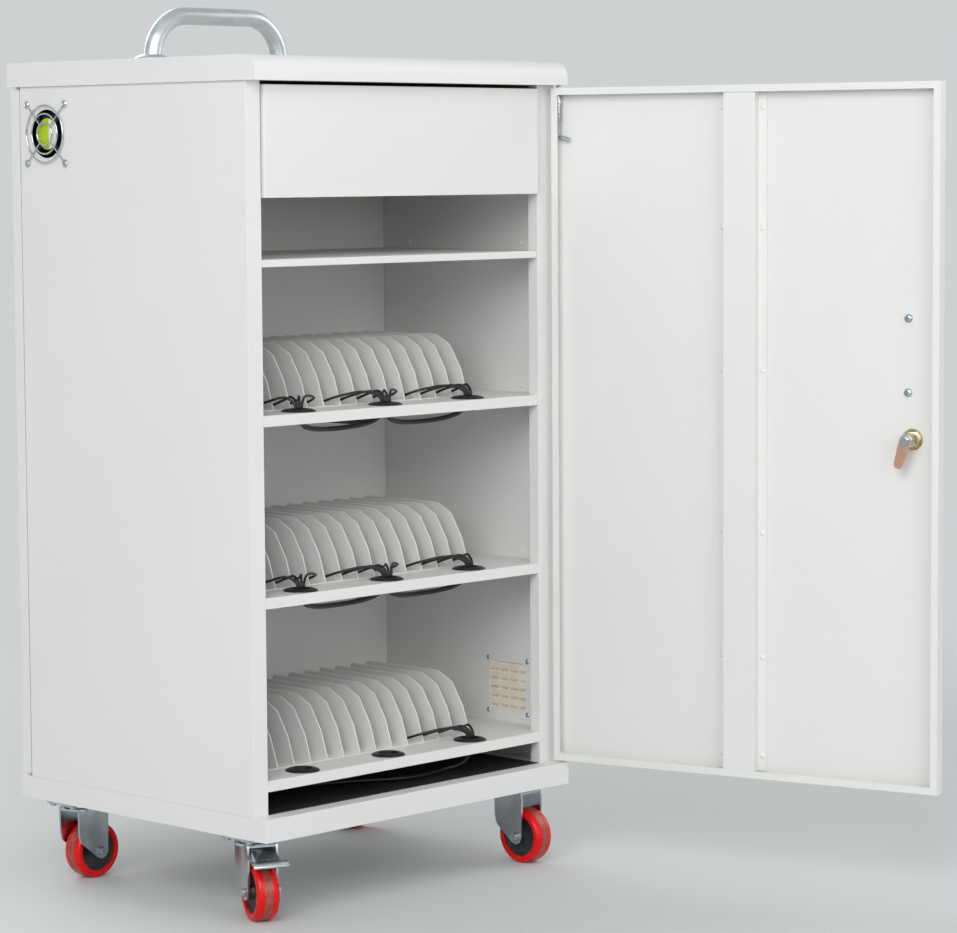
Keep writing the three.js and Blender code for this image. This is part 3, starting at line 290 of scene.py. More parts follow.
# Finishes: light tone or colour property, dark tone or share of the light one, least and most roughness,
# sizes of the clouds and the grain and depth of the grain in millimetres, stretch and shader settings
FINISHES = {
    # Polyester powder coat on sheet steel: satin, with the slight orange peel of the melted powder
    "powder_coat": ("paint", 0.985, (0.36, 0.46), (260, 2.6, 0.022), EVEN, {}),
    # Electroplated zinc on pressed steel: blue-white, with soft streaks from the bath
    "bright_zinc": ("#CFD6D9", "#B3BDC2", (0.16, 0.27), (24, 1.4, 0.012), (1, 1, 0.35), METAL),
    # Chromed wire: nearly a mirror, with faint waves from the drawing
    "chrome_wire": ("#E2E4E5", "#C4C8CA", (0.08, 0.16), (12, 2.0, 0.01), EVEN, METAL),
    # Zinc plated tube: a smooth pale grey with faint clouds and fine drawing lines
    "plated_tube": ("#D6DCDC", "#B9C2C3", (0.3, 0.4), (26, 0.9, 0.008), (0.4, 1, 1), METAL),
    # Black ABS from a spark-eroded mould: an even matt grain
    "moulded_black": ("#1A1B1D", "#121314", (0.38, 0.5), (20, 0.9, 0.03), EVEN, {}),
    # Extruded PVC sheath: black, slightly waxy
    "cable_sheath": ("#17181A", "#0E0F10", (0.32, 0.46), (14, 1.6, 0.012), EVEN, {}),
    # Cast polyurethane: clear saturated red that lets a little light in, with a polished mould surface
    "tread_polyurethane": ("tread", 0.86, (0.22, 0.32), (18, 3.0, 0.02), EVEN, SOFT),
    # The same polyurethane in a duller, darker red, on the flat running band of the tread
    "tread_over_core": ("#A84C44", "#8A3C36", (0.22, 0.32), (10, 2.0, 0.02), EVEN, {}),
    # Glass-filled nylon: near black with a dry, flecked face
    "wheel_core_nylon": ("#2A2F31", "#1A1E20", (0.42, 0.55), (6, 0.7, 0.03), EVEN, {}),
    # Coated paper disc: flat and evenly coloured, and white where it has no colour on it
    "label_paper": ("label", 0.9, (0.35, 0.45), (15, 0.6, 0.006), EVEN, {}),
    "blank_paper": ("#EFEFEA", "#E4E4DE", (0.35, 0.45), (15, 0.6, 0.006), EVEN, {}),
    # Moulded polypropylene gone slightly yellow
    "ivory_polypropylene": ("#F0E6D8", "#E6D9C8", (0.45, 0.58), (25, 1.1, 0.02), EVEN, {}),
    # Black sheet laid on the deck to paint the deep shade under the lowest shelf: dull, with a fine cloth
    # print
    "rubber_sheet": ("#161719", "#0F1011", (0.6, 0.75), (40, 1.2, 0.05), EVEN, {}),
    # Zinc passivated yellow: a pale gold with a greenish cast
    "yellow_passivate": ("lock", 0.86, (0.18, 0.3), (8, 1.0, 0.015), EVEN, METAL),
    # Steel with a thin copper wash: pink and softly brushed
    "copper_wash": ("cam", 0.9, (0.24, 0.36), (14, 0.8, 0.01), (1, 1, 0.3), {"Metallic": 0.85}),
}


def surface(name):
    """A finish with cloudy tone and gloss, and a fine relief."""
    found = bpy.data.materials.get(name)
    if found:
        return found
    light, dark, roughness, (mottle, grain, relief), stretch, sockets = FINISHES[name]
    light = linear(light) if light.startswith("#") else tuple(getattr(colours(), light))
    dark = linear(dark) if isinstance(dark, str) else toned(light, dark)
    material = bpy.data.materials.new(name)
    gloss = {"From Min": 0.3, "From Max": 0.7, "To Min": roughness[0], "To Max": roughness[1]}
    looks = {"Base Color": "tone.Color", "Roughness": "gloss.Result", "Normal": "bump.Normal"}
    rows = {
        "where": ("TexCoord", {}, {}),
        "along": ("Mapping", {"Scale": stretch}, {"Vector": "where.Object"}),
        "cloud": ("TexNoise", {"Scale": 1 / (mottle * MM), "Detail": 4.0}, {"Vector": "along.Vector"}),
        "tone": ("ValToRGB", {}, {"Fac": "cloud.Fac"}),
        "gloss": ("MapRange", gloss, {"Value": "cloud.Fac"}),
        "grit": ("TexNoise", {"Scale": 1 / (grain * MM), "Detail": 2.0}, {"Vector": "along.Vector"}),
        "bump": ("Bump", {"Strength": 1.0, "Distance": relief * MM}, {"Height": "grit.Fac"}),
        "shader": ("BsdfPrincipled", sockets, looks),
        "out": ("OutputMaterial", {}, {"Surface": "shader.BSDF"}),
    }
    ramp = wired(blank_tree(material), rows, "ShaderNode")["tone"].color_ramp
    for stop, place, tint in zip(ramp.elements, (0.32, 0.68), (dark, light)):
        stop.position = place
        stop.color = (*tint, 1)
    return material


# Meshes


def shaded(mesh):
    """Smooth faces with creases kept where the surface turns sharply."""
    mesh.polygons.foreach_set("use_smooth", [True] * len(mesh.polygons))
    mesh.set_sharp_from_angle(angle=radians(CREASE_ANGLE))
    return mesh


def mesh_of(name, points, faces, place=None):
    """A mesh from points and faces, with doubles merged and faces pointing outwards."""
    mesh = bpy.data.meshes.new(name)
    mesh.from_pydata([tuple(p) for p in points], [], faces)
    if place is not None:
        mesh.transform(place)
    form = bmesh.new()
    form.from_mesh(mesh)
    bmesh.ops.remove_doubles(form, verts=form.verts, dist=WELD_DISTANCE)
    bmesh.ops.recalc_face_normals(form, faces=form.faces)
    form.to_mesh(mesh)
    form.free()
    return shaded(mesh)


def joined(name, meshes):
    """One mesh from several, each with its own finish kept."""
    whole = bmesh.new()
    materials = []
    for mesh in meshes:
        first = len(whole.faces)
        whole.from_mesh(mesh)
        whole.faces.ensure_lookup_table()
        own = list(mesh.materials)
        for face in whole.faces[first:]:
            finish = own[face.material_index] if own else None
            if finish not in materials:
                materials.append(finish)
            face.material_index = materials.index(finish)
    out = bpy.data.meshes.new(name)
    whole.to_mesh(out)
    whole.free()
    for finish in filter(None, materials):
        out.materials.append(finish)
    return shaded(out)


def circle(radius, count, centre=(0, 0)):
    """Points round a circle in X and Y."""
    angles = [2 * pi * step / count for step in range(count)]
    return [(centre[0] + radius * cos(a), centre[1] + radius * sin(a)) for a in angles]


def four(half_x, half_y):
    """The corners of a rectangle about its middle."""
    return [(x, y) for x in (-half_x, half_x) for y in (-half_y, half_y)]


def skin(rows, sides, loop=False):
    """Faces of a tube through rows of points, closed at its ends unless it is a loop."""
    faces = []
    for row in range(rows if loop else rows - 1):
        low = row * sides
        high = (row + 1) % rows * sides
        for step in range(sides):
            after = (step + 1) % sides
            faces.append([low + step, low + after, high + after, high + step])
    if not loop:
        faces += [list(range(sides)), list(range((rows - 1) * sides, rows * sides))]
    return faces


def turned(name, profile, segments=48, place=None):
    """A turned solid about Z from a profile of radius and height, closed on the axis or as a ring."""
    points = [(x, y, height) for radius, height in profile for x, y in circle(radius, segments)]
    ring = profile[0][0] > 0
    return mesh_of(name, points, skin(len(profile), segments, ring), place)


def route(points, per_span=8):
    """Points along the smooth centripetal curve through the given ones."""
    knots = [np.array(p, float) for p in points]
    knots = [2 * knots[0] - knots[1], *knots, 2 * knots[-1] - knots[-2]]
    line = [knots[1]]
    for a, b, c, d in zip(knots, knots[1:], knots[2:], knots[3:]):
        before, span, after = (np.linalg.norm(q - p) ** 0.5 for p, q in ((a, b), (b, c), (c, d)))
        start = ((b - a) / before - (c - a) / (before + span) + (c - b) / span) * span
        end = ((c - b) / span - (d - b) / (span + after) + (d - c) / after) * span
        for step in range(1, per_span + 1):
            t = step / per_span
            line.append(
                (2 * t**3 - 3 * t**2 + 1) * b + (t**3 - 2 * t**2 + t) * start
                + (3 * t**2 - 2 * t**3) * c + (t**3 - t**2) * end
            )
    return line


def swept(name, line, diameter, sides=16, place=None, loop=False):
    """A round bar along a line of points."""
    line = [Vector(p) for p in line]
    count = len(line)
    points = []
    side = None
    for index, point in enumerate(line):
        ahead = line[(index + 1) % count] if loop or index + 1 < count else point
        behind = line[index - 1] if loop or index > 0 else point
        along = (ahead - behind).normalized()
        if side is None:
            side = along.orthogonal().normalized()
        side = (side - along * side.dot(along)).normalized()
        across = along.cross(side)
        points += [point + side * x + across * y for x, y in circle(diameter / 2, sides)]
    return mesh_of(name, points, skin(count, sides, loop), place)


def lofted(name, sections, sides, place):
    """A bar along Y through rounded rectangles of y, half width, half height and height of the middle."""
    square = 0.45
    points = []
    for y, wide, high, middle in sections:
        for step in range(sides):
            angle = 2 * pi * (step + 0.5) / sides
            x, z = (copysign(abs(c) ** square, c) for c in (cos(angle), sin(angle)))
            points.append((wide * x, y, middle + high * z))
    return mesh_of(name, points, skin(len(sections), sides), place)


def prism(name, outline, low, high, place=None):
    """A straight prism along Z on an outline in X and Y."""
    points = [(x, y, z) for z in (low, high) for x, y in outline]
    return mesh_of(name, points, skin(2, len(outline)), place)


def linked(name, data):
    """A new object in the scene."""
    obj = bpy.data.objects.new(name, data)
    bpy.context.scene.collection.objects.link(obj)
    return obj


def plain(carrier):
    """The mesh of an object with its modifiers applied; the object goes."""
    evaluated = carrier.evaluated_get(bpy.context.evaluated_depsgraph_get())
    out = bpy.data.meshes.new_from_object(evaluated)
    bpy.data.objects.remove(carrier)
    return out


def finished(mesh, kind, **settings):
    """The mesh with a modifier applied."""
    carrier = linked(mesh.name, mesh)
    modifier = carrier.modifiers.new(kind, kind)
    for key, value in settings.items():
        setattr(modifier, key, value)
    return plain(carrier)


def rounded(mesh, radius, segments=2):
    """The mesh with its sharp edges rounded."""
    mesh.polygons.foreach_set("use_smooth", [True] * len(mesh.polygons))
    limits = {"limit_method": "ANGLE", "angle_limit": radians(EDGE_ANGLE), "use_clamp_overlap": True}
    return finished(mesh, "BEVEL", width=radius, segments=segments, harden_normals=True, **limits)


def solid_of(node):
    """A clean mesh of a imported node: corners merged and flat faces whole."""
    source = frame["nodes"][node].data
    mesh = bpy.data.meshes.new(node)
    mesh.from_pydata([v.co[:] for v in source.vertices], [], [p.vertices[:] for p in source.polygons])
    form = bmesh.new()
    form.from_mesh(mesh)
    bmesh.ops.remove_doubles(form, verts=form.verts, dist=2 * WELD_DISTANCE)
    flat = radians(FLAT_ANGLE)
    bmesh.ops.dissolve_limit(form, angle_limit=flat, verts=form.verts, edges=form.edges)
    form.to_mesh(mesh)
    form.free()
    return mesh


def piece(name, mesh, body, finish=None, stands_for=()):
    """Puts a mesh in the scene as a piece that rides on a body."""
    mesh.name = name
    if finish:
        mesh.materials.clear()
        mesh.materials.append(surface(finish))
    obj = linked(name, mesh)
    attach(obj, body)
    if stands_for:
        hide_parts(*stands_for)
    return obj


def folded(node, finish, radius=None, segments=2):
    """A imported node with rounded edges, in its place."""
    mesh = rounded(solid_of(node), radius or sizes().sheet_edge, segments)
    bodies = frame["record"]["behaviour"]["bodies"]
    body = next(body for body, nodes in bodies.items() if node in nodes)
    piece(f"{node}_formed", mesh, body, finish, [node])


# Geometry Nodes


def grower(name, inputs, rows, last):
    """A geometry tree with a form to repeat, which ends in real geometry with its finish."""
    tree = bpy.data.node_groups.get(name)
    if tree:
        return tree
    tree = bpy.data.node_groups.new(name, "GeometryNodeTree")
    for label, kind in {"Geometry": "Geometry", "Form": "Object", **inputs, "Finish": "Material"}.items():
        tree.interface.new_socket(label, in_out="INPUT", socket_type=f"NodeSocket{kind}")
    tree.interface.new_socket("Geometry", in_out="OUTPUT", socket_type="NodeSocketGeometry")
    coat = {"Geometry": "real.Geometry", "Material": "given.Finish"}
    whole = {
        "given": ("NodeGroupInput", {}, {}),
        "form": ("GeometryNodeObjectInfo", {}, {"Object": "given.Form"}),
        **rows,
        "real": ("GeometryNodeRealizeInstances", {}, {"Geometry": last}),
        "coated": ("GeometryNodeSetMaterial", {}, coat),
        "out": ("NodeGroupOutput", {}, {"Geometry": "coated.Geometry"}),
    }
    wired(tree, whole)
    return tree


def fastener_tree():
    """Seats a fastener on every point, standing along the point's facing."""
    named = {"data_type": "FLOAT_VECTOR", "Name": "facing"}
    seats = {"Points": "given.Geometry", "Instance": "form.Geometry"}
    stance = {"Rotation": "turn.Rotation", "Scale": "given.Size"}
    rows = {
        "facing": ("GeometryNodeInputNamedAttribute", named, {}),
        "turn": ("FunctionNodeAlignRotationToVector", {"axis": "Z"}, {"Vector": "facing.Attribute"}),
        "seated": ("GeometryNodeInstanceOnPoints", {}, {**seats, **stance}),
    }
    return grower("seated_fasteners", {"Size": "Float"}, rows, "seated.Instances")


def repeat_tree():
    """Repeats a form, each by a step and a turn about Z from the one before, and keeps the geometry."""
    copies = {"Points": "row.Mesh", "Instance": "form.Geometry", "Rotation": "turn.Vector"}
    rows = {
        "row": ("GeometryNodeMeshLine", {"mode": "OFFSET"}, {"Count": "given.Count", "Offset": "given.Step"}),
        "index": ("GeometryNodeInputIndex", {}, {}),
        "angle": ("ShaderNodeMath", {"operation": "MULTIPLY"}, {0: "index.Index", 1: "given.Turn"}),
        "turn": ("ShaderNodeCombineXYZ", {}, {"Z": "angle.Value"}),
        "repeated": ("GeometryNodeInstanceOnPoints", {}, copies),
        "whole": ("GeometryNodeJoinGeometry", {}, {"Geometry": "given.Geometry + repeated.Instances"}),
    }
    inputs = {"Count": "Int", "Step": "Vector", "Turn": "Float"}
    return grower("repeated_form", inputs, rows, "whole.Geometry")


def grown(mesh, tree, form, **inputs):
    """The mesh that a tree makes from a base mesh and a form, as a plain mesh."""
    carrier = linked("carrier", mesh)
    source = linked("form", form)
    modifier = carrier.modifiers.new("grow", "NODES")
    modifier.node_group = tree
    ids = {item.name: item.identifier for item in tree.interface.items_tree if item.in_out == "INPUT"}
    for label, value in {**inputs, "Form": source}.items():
        modifier[ids[label]] = value
    carrier.update_tag()
    bpy.context.view_layer.update()
    out = plain(carrier)
    bpy.data.objects.remove(source)
    return out


def seated(name, form, seats, place, body, finish, size):
    """Fasteners of one form at seats of point and facing, as one piece of a body."""
    mesh = bpy.data.meshes.new(name)
    mesh.from_pydata([place @ Vector(p) for p, _ in seats], [], [])
    facing = mesh.attributes.new("facing", "FLOAT_VECTOR", "POINT")
    turn = place.to_3x3().normalized()
    facing.data.foreach_set("vector", [c for _, d in seats for c in (turn @ Vector(d)).normalized()])
    out = grown(mesh, fastener_tree(), form, Size=size, Finish=surface(finish))
    piece(name, shaded(out), body)


def pan_head():
    """A pan-head screw with a cross recess, standing on its seat, one unit across."""
    profile = [(0, 0.26), (0.2, 0.255), (0.36, 0.2), (0.47, 0.1), (0.5, 0.02), (0.5, -0.05), (0, -0.05)]
    head = turned("pan_head", profile, 20)
    arm = [(-0.26, -0.05), (0.26, -0.05), (0.26, 0.05), (-0.26, 0.05)]
    for outline in (arm, [(-y, x) for x, y in arm]):
        tool = linked("slot", prism("slot", outline, 0.14, 0.4))
        head = finished(head, "BOOLEAN", object=tool, operation="DIFFERENCE", solver="EXACT")
        bpy.data.objects.remove(tool)
    return head


def hex_head():
    """A hexagon bolt head with a chamfered crown and a washer face, one unit across its flats."""
    outline = circle(0.5 / cos(pi / 6), 6)
    head = rounded(prism("hex_head", outline, 0.08, 0.46), 0.05)
    washer = turned("washer", [(0, 0), (0.72, 0), (0.75, 0.03), (0.72, 0.08), (0, 0.08)], 28)
    return joined("hex_head", [head, washer])


def weld_dome():
    """The low bump of a spot weld, one unit across."""
    profile = [(0, 0.22), (0.18, 0.2), (0.34, 0.13), (0.45, 0.05), (0.5, -0.06), (0, -0.06)]
    return turned("weld_dome", profile, 16)


# Steps of the build


def add_camera(scene):
    yaw, pitch, roll = (radians(a) for a in CAMERA_TURNS)
    ahead = Vector((sin(yaw) * cos(pitch), cos(yaw) * cos(pitch), -sin(pitch)))
    right = Vector((cos(yaw), -sin(yaw), 0))
    right = cos(roll) * right + sin(roll) * ahead.cross(right)
    up = right.cross(ahead)
    data = bpy.data.cameras.new("camera")
    data.lens = CAMERA_LENS
    data.sensor_width = 36
    data.sensor_fit = "HORIZONTAL"
    data.clip_end = 60
    camera = linked("camera", data)
    place = Matrix((right, up, -ahead)).transposed().to_4x4()
    place.translation = shift() + Vector(CAMERA_PLACE) * MM
    camera.matrix_world = place
    scene.camera = camera


def add_floor():
    tint = tuple(colours().floor)
    material = bpy.data.materials.new("studio_floor")
    fade = {"interpolation_type": "SMOOTHSTEP", "From Min": FLOOR_FADE[0], "From Max": FLOOR_FADE[1]}
    rows = {
        "where": ("TexCoord", {}, {}),
        "cloud": ("TexNoise", {"Scale": 0.7, "Detail": 2.0}, {"Vector": "where.Object"}),
        "tone": ("ValToRGB", {}, {"Fac": "cloud.Fac"}),
        "near": ("BsdfPrincipled", {"Roughness": 0.75}, {"Base Color": "tone.Color"}),
        "far": ("Emission", {"Color": (*tint, 1), "Strength": 1.0}, {}),
        "away": ("VectorMath", {"operation": "LENGTH"}, {"Vector": "where.Object"}),
        "blend": ("MapRange", fade, {"Value": "away.Value"}),
        "path": ("LightPath", {}, {}),
        "share": ("Math", {"operation": "MULTIPLY"}, {0: "blend.Result", 1: "path.Is Camera Ray"}),
        "mixed": ("MixShader", {}, {0: "share.Value", 1: "near.BSDF", 2: "far.Emission"}),
        "out": ("OutputMaterial", {}, {"Surface": "mixed.Shader"}),
    }
    ramp = wired(blank_tree(material), rows, "ShaderNode")["tone"].color_ramp
    for stop, share in zip(ramp.elements, (0.98, 1.0)):
        stop.color = (*toned(tint, share), 1)
    wide, deep = FLOOR_RADIUS, FLOOR_DEPTH
    disc = turned("floor", [(0, 0), (wide, 0), (wide, -deep), (0, -deep)], 96)
    disc.materials.append(material)
    linked("floor", disc)


def add_background(scene):
    scene.world = bpy.data.worlds.new("studio")
    either = {"operation": "MAXIMUM"}
    rows = {
        "path": ("LightPath", {}, {}),
        "seen": ("Math", either, {0: "path.Is Camera Ray", 1: "path.Is Glossy Ray"}),
        "met": ("Math", either, {0: "seen.Value", 1: "path.Is Transmission Ray"}),
        "light": ("Background", {"Color": (1, 1, 1, 1), "Strength": DAYLIGHT}, {}),
        "shown": ("Background", {"Color": (*colours().floor, 1), "Strength": 1.0}, {}),
        "mixed": ("MixShader", {}, {0: "met.Value", 1: "light.Background", 2: "shown.Background"}),
        "out": ("OutputWorld", {}, {"Surface": "mixed.Shader"}),
    }
    wired(blank_tree(scene.world), rows, "ShaderNode")


def add_lamps():
    aim = Vector(LAMP_AIM)
    for name, (place, width, power) in LAMPS.items():
        data = bpy.data.lights.new(name, "AREA")
        data.size = width
        data.energy = power
        lamp = linked(name, data)
        lamp.location = place
        lamp.rotation_mode = "QUATERNION"
        lamp.rotation_quaternion = (aim - Vector(place)).to_track_quat("-Z", "Y")


class CART_OT_stage(Operator):
    """Floor, background, lamps and the camera at the photograph's angle"""

    bl_idname = "cart.stage"
    bl_label = "Stage"

    def execute(self, context):
        add_camera(context.scene)
        add_floor()
        add_background(context.scene)
        add_lamps()
        context.scene.view_settings.view_transform = "Standard"
        return {"FINISHED"}


def add_cable(name, points, diameter, place, number):
    line = [place @ Vector(p) for p in route(points)]
    tube = swept(name, line, diameter, 12)
    obj = piece(name, tube, "cabinet", "cable_sheath", [f"charging_harness_{number}"])


def add_leads(number, grommet, place):
    """The leads of one grommet, and the bunch that fills its bore."""
    count = LEADS_PER_GROMMET[grommet]
    lead = sizes().lead / MM
    first = sum(LEADS_PER_GROMMET[:grommet])
    strands = []
    for index in range(count):
        start = GROMMET_X[grommet] + (index - (count - 1) / 2) * (lead + 1)
        end = RACK_MIDDLE + (first + index - (SLOTS - 1) / 2) * sizes().fin_pitch / MM
        reach = end - start
        rest = RACK_PLATE + lead / 2 + FIT
        points = [
            (start, GROMMET_Y, -lead), (start, GROMMET_Y, 10), (start + 0.3 * reach, GROMMET_Y + 12, 19),
            (end - 0.12 * reach, RACK_FRONT - 4, 14), (end, RACK_FRONT + 26, rest + 1),
            (end, RACK_FRONT + 58, rest),
        ]
        tag = f"{number}_{SIDES[grommet]}_{index + 1}"
        plug = add_plug(f"plug_{tag}", end, RACK_FRONT + 58, place)
        add_cable(f"lead_{tag}", points, sizes().lead, place, number)
        strands.append(start - GROMMET_X[grommet])
    add_bunch(number, grommet, strands, place)


def add_bunch(number, grommet, strands, place):
    name = f"lead_bunch_{number}_{SIDES[grommet]}"
    lines = [(x, 0) for x in strands] + [(x * 0.8, s * 6.2) for x in strands for s in (-1, 1)]
    thick = sizes().lead / MM * 1.1
    meshes = []
    for x, y in lines:
        foot = (GROMMET_X[grommet] + x, GROMMET_Y + y)
        meshes.append(swept(name, [(*foot, z) for z in (BUNCH_FOOT, -10, -2.2)], thick, 8, place))
    mesh = joined(name, meshes)
    piece(name, mesh, "cabinet", "cable_sheath", [f"charging_harness_{number}"])


def add_plug(name, x, y, place):
    """A moulded plug with a ribbed strain relief and a plated tip, lying in its slot."""
    middle = RACK_PLATE + FIT + 3
    ribs = []
    for rib in range(4):
        near = y - 13 + rib * 2.6
        grow = 2.1 + rib * 0.22
        for step, size in ((0, grow), (1.6, grow), (1.9, 1.95)):
            ribs.append((near + step, size, size, middle))
    sections = ribs + [
        (y - 2.6, 3.4, 2.4, middle), (y - 1.4, 4.5, 2.8, middle), (y + 4, 5, 3, middle),
        (y + 14.5, 5, 3, middle), (y + 16, 4.6, 2.7, middle),
    ]
    body = lofted(name, sections, 20, place @ moved(x, 0, 0))
    body.materials.append(surface("cable_sheath"))
    plated = ((15.5, 3.6, 1.2), (22.6, 3.6, 1.2), (23.3, 3.3, 1.0))
    tip_sections = [(y + step, wide, high, middle) for step, wide, high in plated]
    tip = lofted(name, tip_sections, 16, place @ moved(x, 0, 0))
    tip.materials.append(surface("bright_zinc"))
    return piece(name, joined(name, [body, tip]), "cabinet")


def trunk_routes(lowest, top):
    """Routes of the trunk cables, relative to the shelf's top face."""
    trunk = sizes().trunk / MM
    if lowest:
        lie = DECK - top + trunk / 2 + 4 * FIT
        x = GROMMET_X[2]
        yield "deck_trunk", [
            (x, GROMMET_Y, BUNCH_FOOT + trunk / 2), (x - 6, GROMMET_Y + 6, lie + 10),
            (x - 40, GROMMET_Y + 22, lie), (x - 110, GROMMET_Y + 14, lie), (HUB_X + 60, HUB_FACE - 46, lie),
            (HUB_X, HUB_FACE - 16, lie), (HUB_X, HUB_FACE, lie),
        ]
        return
    low = BUNCH_FOOT + trunk
    sag = TRUNK_SAG
    for side, (a, b) in enumerate(zip(GROMMET_X, GROMMET_X[1:]), 1):
        yield f"trunk_swag_{side}", [
            (a, GROMMET_Y, low), (a + 22, GROMMET_Y + 8, sag + 6), ((a + b) / 2, GROMMET_Y + 18, sag),
            (b - 22, GROMMET_Y + 8, sag + 6), (b, GROMMET_Y, low),
        ]
    yield "trunk_tail", [
        (GROMMET_X[1], GROMMET_Y, low), (GROMMET_X[1] - 8, GROMMET_Y + 24, sag + 6),
        (HUB_X + 24, HUB_FACE - 40, sag + 9), (HUB_X, HUB_FACE - 16, -13.5), (HUB_X, HUB_FACE, -13.5),
    ]


class CART_OT_leads(Operator):
    """Charging leads with their plugs, the bunches in the grommets and the trunk cables"""

    bl_idname = "cart.leads"
    bl_label = "Charging leads"

    def execute(self, context):
        for number, top in enumerate(SHELF_TOPS, 1):
            place = placed(moved(0, 0, top))
            lowest = number == len(SHELF_TOPS)
            for grommet in (2,) if lowest else (0, 1, 2):
                add_leads(number, grommet, place)
            for name, points in trunk_routes(lowest, top):
                add_cable(f"{name}_{number}", points, sizes().trunk, place, number)
        return {"FINISHED"}


def add_shade_sheet():
    """A black sheet of painted shade on the deck under the lowest shelf, cut round the hub that stands there.
    """
    low, high = ((corner - shift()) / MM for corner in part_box("usb_hub_3"))
    left, right, front, rear, room = -272, 262, -235, 112, 3
    near, before, beyond = low.x - room, low.y - room, high.x + room
    outline = [(left, front), (right, front), (right, rear), (beyond, rear)]
    outline += [(beyond, before), (near, before), (near, rear), (left, rear)]
    mesh = rounded(prism("deck_mat", outline, DECK, DECK + 1, placed()), 0.3 * MM)
    piece("deck_mat", mesh, "cabinet", "rubber_sheet")


def add_rivets():
    """Painted rivets that hold the shelves to the right and left walls."""
    seats = []
    for top in (UPPER_SHELF_TOP, *SHELF_TOPS):
        for y in RIVET_ROWS:
            for side in (1, -1):
                seats.append(((side * RIGHT_WALL, y, top + RIVET_RISE), (-side, 0, 0)))
    seated("shelf_rivets", weld_dome(), seats, placed(), "cabinet", "powder_coat", RIVET * MM)


class CART_OT_cabinet(Operator):
    """Folded sheet of the cabinet: panels, cap, base, partition, shelves and drawer"""

    bl_idname = "cart.cabinet"
    bl_label = "Cabinet"

    def execute(self, context):
        shelves = ["upper_shelf", *(f"device_shelf_{number}" for number in (1, 2, 3))]
        walls = ["left_side_panel", "right_side_panel", "top_cap", "base_tray", "partition_wall"]
        for node in (*walls, *shelves, "drawer"):
            folded(node, "powder_coat")
        add_rivets()
        # A black sheet on the deck paints the shade under the lowest shelf
        add_shade_sheet()
        return {"FINISHED"}


def add_racks():
    fins = sizes().fins
    pitch = sizes().fin_pitch
    half = (fins - 1) * pitch / MM / 2
    left, right = RACK_MIDDLE - half, RACK_MIDDLE + half
    deep, tall = FIN_SIZE
    rear = [(0, 0), (deep, 0), (deep, tall - 4), (deep - 4, tall)]
    side = rear + [(62, tall), (34.1, 73.9), (12.4, 39.6), (0, 3)]
    base = [(left - 1, -1), (right + 1, -1), (right + 1, deep), (left - 1, deep)]
    for number, top in enumerate(SHELF_TOPS, 1):
        node = f"divider_rack_{number}"
        place = placed(moved(0, RACK_FRONT, top))
        first = place @ moved(left, 0, 0)
        fin = rounded(prism("fin", side, -1, 1, first @ UPRIGHT), 0.7 * MM)
        plate = rounded(prism("plate", base, 0, RACK_PLATE, place), 0.5 * MM)
        coat = surface("powder_coat")
        mesh = grown(plate, repeat_tree(), fin, Count=fins, Step=(pitch, 0, 0), Finish=coat)
        piece(f"{node}_formed", mesh, "cabinet", None, [node])


class CART_OT_racks(Operator):
    """Divider racks: a row of upright fins on a thin plate"""

    bl_idname = "cart.racks"
    bl_label = "Divider racks"

    def execute(self, context):
        add_racks()
        return {"FINISHED"}


def add_hub(number):
    node = f"usb_hub_{number}"
    folded(node, "moulded_black", 2 * MM, 3)
    low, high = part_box(node)
    middle = (low + high) / 2
    places = [middle.x + PORT_PITCH * MM * (i - (PORTS - 1) / 2) for i in range(PORTS)]
    seats = [((x, low.y, middle.z), (0, -1, 0)) for x in places]
    name = f"hub_ports_{number}"
    seated(name, hub_port(), seats, Matrix.Identity(4), "cabinet", "bright_zinc", MM)


def hub_port():
    """A plated port rim standing 1 mm out of its face."""
    lip = [(-7, -3.4), (7, -3.4), (7, 3.4), (-7, 3.4)]
    mouth = [(x * 0.86, y * 0.72) for x, y in lip]
    points = [(x, y, z) for z in (-1, 1) for x, y in lip] + [(x, y, z) for z in (1, -1) for x, y in mouth]
    return mesh_of("port", points, skin(4, 4, True))


class CART_OT_grommets(Operator):
    """Cable grommets in the shelves, and the hubs under them"""

    bl_idname = "cart.grommets"
    bl_label = "Grommets and hubs"

    def execute(self, context):
        profile = [
            (13.7, -13.5), (14.6, -14.2), (17.6, -14.2), (18.6, -13.2), (18.6, 0), (23.4, 0), (24, 0.5),
            (23.8, 1.1), (21.5, 2.5), (19, 3.4), (17, 3.8), (16.4, 3.4), (15.8, 3.9), (14.6, 3.9),
            (13.9, 3.2), (13.7, 2),
        ]
        for number, top in enumerate(SHELF_TOPS, 1):
            for side, x in zip(SIDES, GROMMET_X):
                node = f"grommet_{number}_{side}"
                place = placed(moved(x, GROMMET_Y, top))
                mesh = turned(node, profile, 48, place)
                piece(f"{node}_moulded", mesh, "cabinet", "moulded_black", [node])
            add_hub(number)
        return {"FINISHED"}


